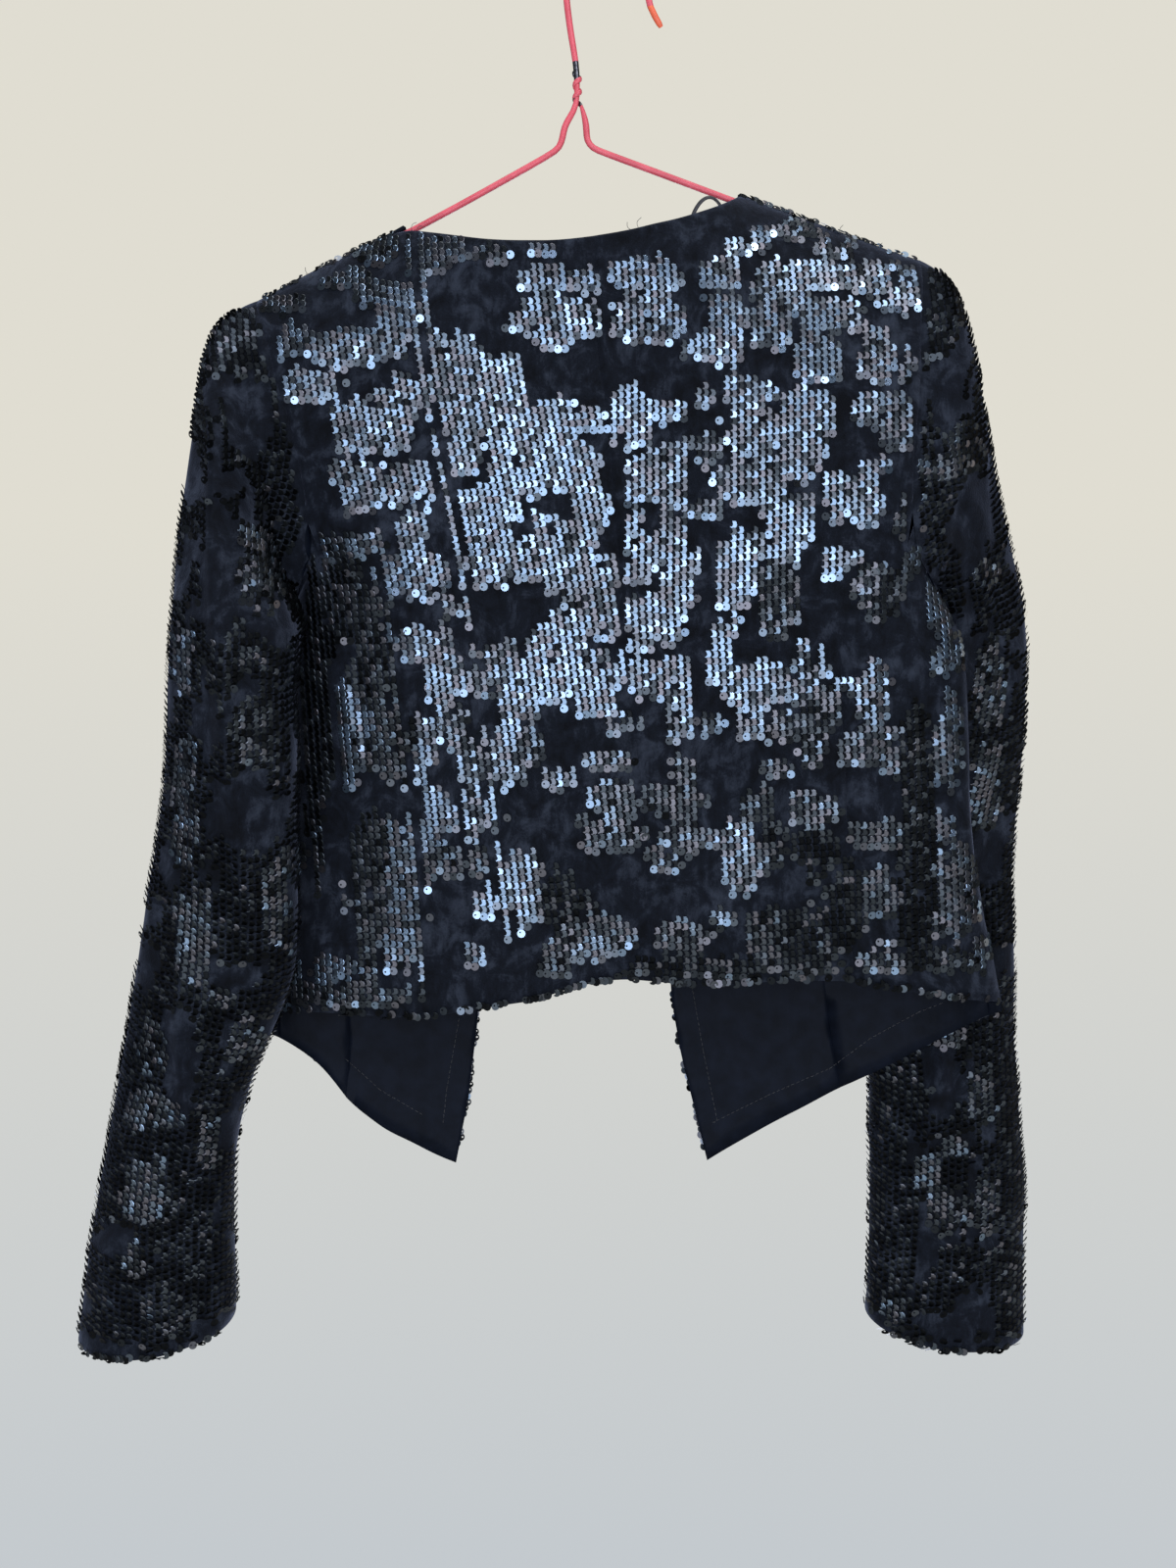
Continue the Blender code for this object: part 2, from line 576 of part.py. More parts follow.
def main():
    for old in list(bpy.data.objects):
        bpy.data.objects.remove(old, do_unlink=True)
    collection = bpy.data.collections.new("sequin_jacket_on_hanger")
    bpy.context.scene.collection.children.link(collection)
    velvet = newMaterial("black sequinned velvet", (0.008, 0.009, 0.012), 0.55)
    lining = newMaterial("black satin lining", (0.009, 0.010, 0.015), 0.45)
    coating = newMaterial("coral coated wire", (0.63, 0.09, 0.11), 0.40)
    ribbon = newMaterial("black ribbon", (0.010, 0.010, 0.012), 0.50)
    makePanels(collection, velvet, lining)
    makeSleeves(collection, velvet)
    makeHanger(collection, coating)
    makeLoop(collection, ribbon)


main()
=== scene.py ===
# Looks of a cropped open-front jacket of sequinned black velvet, hung on a coated wire hanger.
import math

import bmesh
import bpy
import numpy as np
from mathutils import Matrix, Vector, noise
from mathutils.bvhtree import BVHTree


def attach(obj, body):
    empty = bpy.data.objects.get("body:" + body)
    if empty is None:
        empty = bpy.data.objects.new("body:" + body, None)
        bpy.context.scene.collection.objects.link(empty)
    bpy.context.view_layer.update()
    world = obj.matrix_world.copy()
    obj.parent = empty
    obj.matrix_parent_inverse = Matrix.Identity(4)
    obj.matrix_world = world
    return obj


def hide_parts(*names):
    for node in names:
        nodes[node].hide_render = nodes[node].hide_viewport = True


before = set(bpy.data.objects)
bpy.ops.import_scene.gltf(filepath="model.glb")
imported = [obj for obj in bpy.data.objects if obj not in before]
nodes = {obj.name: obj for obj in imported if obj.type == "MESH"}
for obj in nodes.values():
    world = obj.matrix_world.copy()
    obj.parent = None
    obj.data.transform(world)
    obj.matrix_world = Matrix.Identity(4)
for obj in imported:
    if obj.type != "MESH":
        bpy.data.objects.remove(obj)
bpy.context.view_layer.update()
mm = 0.001
# Draws and noise vectors both come from a seed, so that each run is the same
chance = np.random.default_rng(12)
noise.seed_set(12)


def selectOnly(piece):
    bpy.ops.object.select_all(action="DESELECT")
    piece.select_set(True)
    bpy.context.view_layer.objects.active = piece


def editAll():
    bpy.ops.object.mode_set(mode="EDIT")
    bpy.ops.mesh.select_all(action="SELECT")


def newPiece(name, data):
    piece = bpy.data.objects.new(name, data)
    bpy.context.scene.collection.objects.link(piece)
    return piece


def hexColour(text):
    parts = [int(text[i:i + 2], 16) / 255 for i in (1, 3, 5)]
    return [p / 12.92 if p < 0.04045 else ((p + 0.055) / 1.055) ** 2.4 for p in parts] + [1.0]


def addNode(tree, kind, settings=None, values=None, links=None):
    node = tree.nodes.new("ShaderNode" + kind)
    for name, value in (settings or {}).items():
        setattr(node, name, value)
    for socket, value in (values or {}).items():
        node.inputs[socket].default_value = value
    for socket, source in (links or {}).items():
        if source is not None:
            tree.links.new(source, node.inputs[socket])
    return node


def startMaterial(name):
    material = bpy.data.materials.new(name)
    material.use_nodes = True
    material.node_tree.nodes.clear()
    return material, material.node_tree


def objectPlace(tree):
    return addNode(tree, "TexCoord").outputs["Object"]


# Noise with forms of the given size in mm
def addNoise(tree, place, size, detail, **values):
    return addNode(tree, "TexNoise", values={"Scale": 1000 / size, "Detail": detail, **values},
                   links={"Vector": place}).outputs["Fac"]


# Colours along a value: pairs of place and colour
def addRamp(tree, value, stops):
    ramp = addNode(tree, "ValToRGB", links={"Fac": value})
    band = ramp.color_ramp
    while len(band.elements) < len(stops):
        band.elements.new(0.5)
    for element, (place, colour) in zip(band.elements, stops):
        element.position = place
        element.color = hexColour(colour)
    return ramp.outputs["Color"]


def addRange(tree, value, low, high):
    return addNode(tree, "MapRange", values={"To Min": low, "To Max": high},
                   links={"Value": value}).outputs[0]


def addBump(tree, height, strength, distance, below=None):
    return addNode(tree, "Bump", values={"Strength": strength, "Distance": distance},
                   links={"Height": height, "Normal": below}).outputs[0]


def finishMaterial(material, tree, values, colour, normal=None, rough=None):
    shader = addNode(tree, "BsdfPrincipled", values=values,
                     links={"Base Color": colour, "Normal": normal, "Roughness": rough})
    addNode(tree, "OutputMaterial", links={"Surface": shader.outputs[0]})
    return material


# Crushed velvet: cut pile laid over in patches, from ink black to smoky grey; the smoky grey is painted sheen
# in the colour, where crushed pile would lean to the light
velvet = {"dark": "#06080D", "body": "#0F131B", "crushed": "#292E38", "sheenTint": "#949EBA", "sheen": 0.38,
          "roughness": 0.82, "crushPatch": 17, "streak": 5, "pile": 0.9, "relief": 0.00088,
          "pileRelief": 0.00036}


def makeVelvet():
    material, tree = startMaterial("crushed black velvet")
    place = objectPlace(tree)
    crush = addNoise(tree, place, velvet["crushPatch"], 5.0, Roughness=0.62, Distortion=0.7)
    lay = addNode(tree, "Mapping", values={"Scale": (1.0, 1.0, 0.35), "Rotation": (0.0, 0.35, 0.0)},
                  links={"Vector": place})
    streak = addNoise(tree, lay.outputs[0], velvet["streak"], 4.0, Roughness=0.6)
    pile = addNoise(tree, place, velvet["pile"], 2.0)
    mixed = addNode(tree, "Math", {"operation": "MULTIPLY_ADD"}, {1: 0.42}, {0: streak, 2: crush})
    toneAndPaintedSheen = addNode(tree, "Math", {"operation": "MULTIPLY_ADD"}, {1: 0.16},
                      {0: pile, 2: mixed.outputs[0]})
    # The crushed grey end of this ramp is painted sheen, not a colour of the pile
    colour = addRamp(tree, toneAndPaintedSheen.outputs[0],
                     [(0.62, velvet["dark"]), (0.80, velvet["body"]), (0.99, velvet["crushed"])])
    relief = addBump(tree, mixed.outputs[0], 0.8, velvet["relief"])
    fine = addBump(tree, pile, 0.6, velvet["pileRelief"], relief)
    look = {"Roughness": velvet["roughness"], "Specular IOR Level": 0.09, "Sheen Weight": velvet["sheen"],
            "Sheen Roughness": 0.42, "Sheen Tint": hexColour(velvet["sheenTint"])}
    return finishMaterial(material, tree, look, colour, fine)


# Lining satin: filament weave, so a smooth dull black-navy with a soft wide gloss and faint threads
satin = {"colour": "#0A0E16", "worn": "#111621", "thread": 0.6, "slub": 9, "roughness": 0.46}


def makeSatin():
    material, tree = startMaterial("black lining satin")
    place = objectPlace(tree)
    warp = addNode(tree, "TexWave", {"wave_type": "BANDS", "bands_direction": "X"},
                   {"Scale": 1000 / satin["thread"] / 20, "Distortion": 0.6, "Detail": 1.0},
                   {"Vector": place})
    slub = addNoise(tree, place, satin["slub"], 4.0)
    colour = addRamp(tree, slub, [(0.35, satin["colour"]), (0.75, satin["worn"])])
    soft = addBump(tree, slub, 0.5, 0.0006, addBump(tree, warp.outputs["Fac"], 0.25, 0.0001))
    look = {"Roughness": satin["roughness"], "Specular IOR Level": 0.05}
    return finishMaterial(material, tree, look, colour, soft)


# Sequin film: punched from black metallised polyester, like a slightly warped mirror, each in its own tone.
# The tone is partly painted light: dark tones are painted shade on discs that turn from the lamps, pale blue
# tones a painted reflection of cool light
film = {"tones": [(0.0, "#101214"), (0.2, "#2A2E31"), (0.38, "#4A5055"), (0.5, "#67656A"), (0.62, "#66727D"),
                  (0.8, "#788CA0"), (1.0, "#9CB0C8")], "smoothest": 0.24, "roughest": 0.40, "metallic": 0.92}


def makeFilm():
    material, tree = startMaterial("black metallised sequin film")
    toneAndPaintedLight = addNode(tree, "Attribute", {"attribute_name": "toneAndPaintedLight"}).outputs["Fac"]
    rough = addRange(tree, toneAndPaintedLight, film["roughest"], film["smoothest"])
    colour = addRamp(tree, toneAndPaintedLight, film["tones"])
    return finishMaterial(material, tree, {"Metallic": film["metallic"]}, colour, rough=rough)


# Dipped vinyl on the wire: soft plastic with a satin gloss, a little grimy and rippled from the dipping
dip = {"coral": [(0.32, "#C84C58"), (0.62, "#DC5A66")], "orange": [(0.32, "#DD5C38"), (0.62, "#EE6C45")],
       "ripple": 14, "speck": 1.6, "smoothest": 0.30, "roughest": 0.52}


def makeDip(name, colours):
    material, tree = startMaterial(name)
    place = objectPlace(tree)
    ripple, speck = addNoise(tree, place, dip["ripple"], 3.0), addNoise(tree, place, dip["speck"], 3.0)
    colour = addRamp(tree, ripple, colours)
    rough = addRange(tree, speck, dip["smoothest"], dip["roughest"])
    return finishMaterial(material, tree, {"IOR": 1.52}, colour, addBump(tree, speck, 0.25, 0.0001), rough)


# Bare drawn steel where the dip stops: dull grey with fine scratches
steel = {"greys": [(0.3, "#4A4A50"), (0.7, "#8A8A90")], "scratch": 10 / 9, "smoothest": 0.28, "roughest": 0.5}


def makeSteel():
    material, tree = startMaterial("bare drawn steel wire")
    scratch = addNoise(tree, objectPlace(tree), steel["scratch"], 3.0)
    rough = addRange(tree, scratch, steel["smoothest"], steel["roughest"])
    colour = addRamp(tree, scratch, steel["greys"])
    return finishMaterial(material, tree, {"Metallic": 1.0}, colour, rough=rough)


# Polyester thread and narrow ribbon: black filament yarn with a tight twist and a soft sheen
def makeYarn(name, colour, light, twist):
    material, tree = startMaterial(name)
    strand = addNoise(tree, objectPlace(tree), twist, 2.0)
    tones = addRamp(tree, strand, [(0.35, colour), (0.7, light)])
    look = {"Roughness": 0.5, "Sheen Weight": 0.3}
    return finishMaterial(material, tree, look, tones, addBump(tree, strand, 0.5, 0.0001))


velvetMaterial, satinMaterial, filmMaterial = makeVelvet(), makeSatin(), makeFilm()
coralMaterial = makeDip("dipped coral vinyl", dip["coral"])
tipMaterial = makeDip("moulded orange tip", dip["orange"])
steelMaterial = makeSteel()
threadMaterial = makeYarn("black polyester thread", "#040406", "#0C0C11", 0.5)
ribbonMaterial = makeYarn("black satin ribbon", "#0C0C10", "#23232B", 1.2)
print("materials made")

# Cloth: how the CAD walls become hanging cloth, mm and degrees
drape = {"weld": 0.02, "quadAngle": 35, "seamReach": 1.3, "seamOverlap": 0.22, "rimEdge": 2.3,
         "sharpAngle": 52, "levels": 2, "smoothAngle": 50, "foldSize": 58, "foldDepth": 1.5,
         "crinkleSize": 21, "crinkleDepth": 0.5, "freeBelow": 30, "sleeveFade": 8}
# Creases that show on the back and sleeves, mm: top x, top z, foot x, foot z, half width, height
creases = [
    (-219, -246, -197, -493, 6, 2.6), (-236, -485, -224, -670, 5, 2.4), (-196, -250, -186, -330, 5, 1.8),
    (196, -612, 180, -668, 7, 3.0), (184, -284, 215, -328, 6, 2.8), (204, -338, 214, -366, 5, 2.2),
    (205, -235, 222, -300, 7, 1.8), (166, -388, 162, -575, 6, 2.2), (146, -352, 140, -460, 6, 1.6),
    (-150, -372, -140, -470, 6, 1.8), (-60, -330, -95, -372, 7, 1.2), (24, -478, 4, -530, 8, 2.0),
    (-38, -452, -52, -500, 9, 1.8), (60, -440, 92, -478, 9, 1.6), (-228, -560, -212, -640, 6, 2.2),
    (-219, -250, -210, -379, 5, 3.4), (-212, -379, -193, -534, 6, 3.6), (-232, -577, -223, -669, 6, 3.2),
    (195, -336, 204, -518, 6, 3.2), (196, -604, 177, -674, 6, 3.4), (214, -430, 206, -520, 6, 2.0),
    (190, -700, 196, -750, 6, 1.8), (-250, -690, -244, -750, 6, 1.8)]
# Each cloth piece: CAD node, flat width and length, m, area of the shaped cloth, m2, what it hangs from
cloths = {
    "backCentreLeft": ("back_centre_left", 0.20, 0.45, 0.059, "hanger"),
    "backCentreRight": ("back_centre_right", 0.20, 0.45, 0.062, "hanger"),
    "backSideLeft": ("back_side_left", 0.13, 0.26, 0.026, "backCentreLeft"),
    "backSideRight": ("back_side_right", 0.10, 0.26, 0.0178, "backCentreRight"),
    "frontCentreLeft": ("front_centre_left", 0.12, 0.54, 0.041, "hanger"),
    "frontCentreRight": ("front_centre_right", 0.15, 0.55, 0.0535, "hanger"),
    "frontSideLeft": ("front_side_left", 0.06, 0.31, 0.0118, "frontCentreLeft"),
    "frontSideRight": ("front_side_right", 0.12, 0.28, 0.0228, "frontCentreRight"),
    "liningCentreLeft": ("lining_centre_left", 0.12, 0.54, 0.0394, "frontCentreLeft"),
    "liningCentreRight": ("lining_centre_right", 0.15, 0.55, 0.0517, "frontCentreRight"),
    "liningSideLeft": ("lining_side_left", 0.05, 0.31, 0.0105, "frontSideLeft"),
    "liningSideRight": ("lining_side_right", 0.11, 0.28, 0.0209, "frontSideRight"),
    "sleeveLeft": ("sleeve_left", 0.30, 0.60, 0.111, "backCentreLeft"),
    "sleeveRight": ("sleeve_right", 0.30, 0.60, 0.114, "backCentreRight"),
}


def clamp(value):
    return min(1.0, max(0.0, value))


# Smooth noise about 0
def waver(x, y, z):
    return noise.noise(Vector((x, y, z)))


def cornersOf(piece):
    return np.array([v.co for v in piece.data.vertices])


# The middle line of a sleeve, m: z, x, y, half width, half depth
def sleeveAxis(points):
    step, band = 0.012, 0.015
    table = []
    for level in np.arange(points[:, 2].min(), points[:, 2].max() + step, step):
        near = points[abs(points[:, 2] - level) < band]
        low, high = near.min(0), near.max(0)
        table.append([level, *((low + high) / 2)[:2], *((high - low) / 2)[:2]])
    return np.array(table)


# A sleeve's section at a level: column 1 is x, 2 is y, 3 and 4 are the half sizes
def middleAt(axis, z, column):
    return np.interp(z, axis[:, 0], axis[:, column])


# Marks each face of the wall: 0 looks outwards, 1 inwards
def facesOut(mesh, node, axis):
    bodyMiddle, bodyHalf, sideShare, topShare = 0.012, 0.19, 1.1, 0.2
    for face in mesh.faces:
        normal, place = face.normal, face.calc_center_median()
        if axis is None:
            out = normal.y * (-1.0 if "back" in node else 1.0) + max(normal.z, 0) * topShare
            out += normal.x * (place.x - bodyMiddle) / bodyHalf * sideShare
        else:
            x, y = (middleAt(axis, place.z, c) for c in (1, 2))
            out = normal.x * (place.x - x) + normal.y * (place.y - y)
        face.material_index = 0 if out > 0 else 1


# The line where the cloth rests on the hanger, m
restX = [-0.21, -0.196, -0.1145, -0.02, 0.0745, 0.175, 0.19]
restZ = [-0.199, -0.196, -0.152, -0.125, -0.133, -0.172, -0.178]


# How freely the cloth moves: 0 above the hanger's line, 1 from 30 mm below it
def zoneWeight(x, z):
    return clamp((np.interp(x, restX, restZ) - z) / (drape["freeBelow"] * mm))


def creaseLift(place):
    lift = 0.0
    x, z = place.x * 1000, place.z * 1000
    for topX, topZ, footX, footZ, width, height in creases:
        alongX, alongZ = footX - topX, footZ - topZ
        along = ((x - topX) * alongX + (z - topZ) * alongZ) / (alongX**2 + alongZ**2)
        beside = math.hypot(x - topX - along * alongX, z - topZ - along * alongZ)
        if beside < 3 * width:
            lift += height * math.exp(-((2 * along - 1)**4)) * math.exp(-(beside / width)**2)
    return lift * mm


# Top corner of the side panels, m: x at the seam, x at the armhole, how far the corner reaches up
gusset = {"level": -0.3395, "left": (-0.160, -0.167, 0.0180), "right": (0.163, 0.169, 0.0215)}
# Bunched cloth below the underarms, m: middle x, middle z, width, height, push along x
underarm = {"sleeve_left": (-0.183, -0.376, 0.017, 0.020, 0.012),
            "sleeve_right": (0.186, -0.376, 0.016, 0.018, -0.007)}

wallTrees = {}
for plan in cloths.values():
    wall = nodes[plan[0]].data
    wallTrees[plan[0]] = BVHTree.FromPolygons([v.co for v in wall.vertices],
                                              [list(f.vertices) for f in wall.polygons])


# True where another cloth of the same kind is sewn on at this place
def isSeam(place, node):
    kind = "lining" in node
    return any(tree.find_nearest(place, drape["seamReach"] * mm)[0] is not None
               for other, tree in wallTrees.items() if other != node and ("lining" in other) == kind)


# The top of a side panel reaches up to the armhole and leaves no gap to the centre panel and the sleeve
def closeGusset(mesh, side):
    seamX, armX, rise = gusset[side]
    for vert in mesh.verts:
        if vert.co.z > gusset["level"]:
            vert.co.z += rise * clamp((vert.co.x - seamX) / (armX - seamX))


# The sleeve's cloth bunches below the underarm and covers the gap beside the body
def fillUnderarm(mesh, node):
    x, z, width, height, push = underarm[node]
    for vert in mesh.verts:
        weight = math.exp(-((vert.co.x - x) / width)**2 - ((vert.co.z - z) / height)**2)
        vert.co.x += push * weight * (0.0 if isSeam(vert.co, node) else 1.0)


# A piece with a copy of a CAD node's mesh
def copyNode(name, node, *materials):
    piece = newPiece(name, nodes[node].data.copy())
    piece.data.materials.clear()
    for material in materials:
        piece.data.materials.append(material)
    return piece


# The piece's mesh for editing, with its corners merged and its triangles joined to larger faces
def openMesh(piece, quadAngle):
    mesh = bmesh.new()
    mesh.from_mesh(piece.data)
    bmesh.ops.remove_doubles(mesh, verts=mesh.verts, dist=drape["weld"] * mm)
    bmesh.ops.join_triangles(mesh, faces=mesh.faces, angle_face_threshold=math.radians(quadAngle),
                             angle_shape_threshold=math.pi, cmp_materials=False)
    mesh.normal_update()
    return mesh


def makeFiner(piece, mesh, levels):
    mesh.to_mesh(piece.data)
    mesh.free()
    selectOnly(piece)
    finer = piece.modifiers.new("finer", "SUBSURF")
    finer.levels = finer.render_levels = levels
    bpy.ops.object.modifier_apply(modifier=finer.name)


def shadeSmooth(piece):
    selectOnly(piece)
    bpy.ops.object.shade_smooth_by_angle(angle=math.radians(drape["smoothAngle"]))


# The rims of the wall move out a little, so that sewn neighbours overlap
def pushRims(rims):
    pushes = {}
    for face in rims:
        for vert in face.verts:
            pushes.setdefault(vert, []).append(face.normal.copy())
    for vert, normals in pushes.items():
        way = sum(normals, Vector())
        if way.length > 1e-6:
            vert.co += way.normalized() * drape["seamOverlap"] * mm


# Moves the cloth into broad folds, crinkles and the drawn creases
def foldCloth(piece, node, axis):
    for vert in piece.data.vertices:
        place = vert.co.copy()
        weight = zoneWeight(place.x, place.z)
        shift = noise.noise_vector(place * (1000 / drape["foldSize"])) * drape["foldDepth"]
        crinkle = place * (1000 / drape["crinkleSize"]) + Vector((7, 3, 5))
        shift += noise.noise_vector(crinkle) * drape["crinkleDepth"]
        vert.co += shift * mm * weight
        facing = 1.0 if "back" in node else 0.0
        if axis is not None:
            facing = clamp((middleAt(axis, place.z, 2) - place.y) / (drape["sleeveFade"] * mm))
        if facing:
            vert.co.y -= creaseLift(place) * weight * facing


# A panel of cloth from its CAD wall: merged, finer, seams closed, and moved into folds
def hangCloth(name):
    node = cloths[name][0]
    piece = copyNode(name, node, satinMaterial if "lining" in node else velvetMaterial, satinMaterial)
    mesh = openMesh(piece, drape["quadAngle"])
    held = mesh.verts.layers.float.new("crease_vert")
    for vert in mesh.verts:
        vert[held] = 1.0 if isSeam(vert.co, node) else 0.0
    if "side" in node:
        closeGusset(mesh, "left" if "left" in node else "right")
    if node in underarm:
        fillUnderarm(mesh, node)
    rims = [f for f in mesh.faces if sum(e.calc_length() < drape["rimEdge"] * mm for e in f.edges) >= 2]
    pushRims(rims)
    crease = mesh.edges.layers.float.new("crease_edge")
    for edge in mesh.edges:
        if len(edge.link_faces) == 2 and edge.calc_face_angle(0.0) > math.radians(drape["sharpAngle"]):
            edge[crease] = 1.0
    axis = sleeveAxis(np.array([v.co for v in mesh.verts])) if "sleeve" in node else None
    facesOut(mesh, node, axis)
    # Rim faces along sewn seams take the dark lining satin, without the velvet's sheen: painted shade in the
    # seam line
    for face in rims:
        if all(vert[held] for vert in face.verts):
            face.material_index = 1
    makeFiner(piece, mesh, drape["levels"])
    foldCloth(piece, node, axis)
    shadeSmooth(piece)
    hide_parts(node)
    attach(piece, "root")
    return piece


cloth = {name: hangCloth(name) for name in cloths}
print("cloth hung:", len(cloth), "pieces")

# Sequins: punched discs sewn in strings, each over the lower part of the one above, mm and degrees
sequin = {"radius": 2.28, "rim": 0.30, "rimDrop": 0.18, "hole": 0.42, "holeLeft": 0.85, "holeUp": 0.35,
          "arcStart": 112, "arcEnd": -150, "notch": [(-0.85, -0.7), (-0.4, 0.1), (-0.65, 0.9)],
          "pitch": 3.75, "spacing": 3.85, "lift": 0.78, "endLift": 0.12, "liftPlay": 0.06, "topOut": 6.5,
          "rightOut": 4.0, "dullOut": 30, "shake": 1.6, "endShake": 5.0}
# Tone of a disc, 0 dark to 1 light, lowered by its dullness as painted shade: the middle, its change over
# broad forms of a size in mm, and disc by disc
toneAndPaintedLight = {"middle": 0.60, "broad": 0.20, "broadSize": 45, "single": 0.20}
# How strings are laid, m: rays start outside the cloth, a row of points ends at a jump, panels and strings
# keep a bare margin and foot, a string's run is read ahead. A turn lies between two rays, in degrees
laying = {"outside": 0.08, "jump": 0.012, "margin": 0.0012, "foot": 0.0008, "ahead": 0.002, "fall": 0.65,
          "bodyRow": 0.003, "bodyTurn": 0.8, "sleeveRow": 0.005, "sleeveTurn": 1.5}
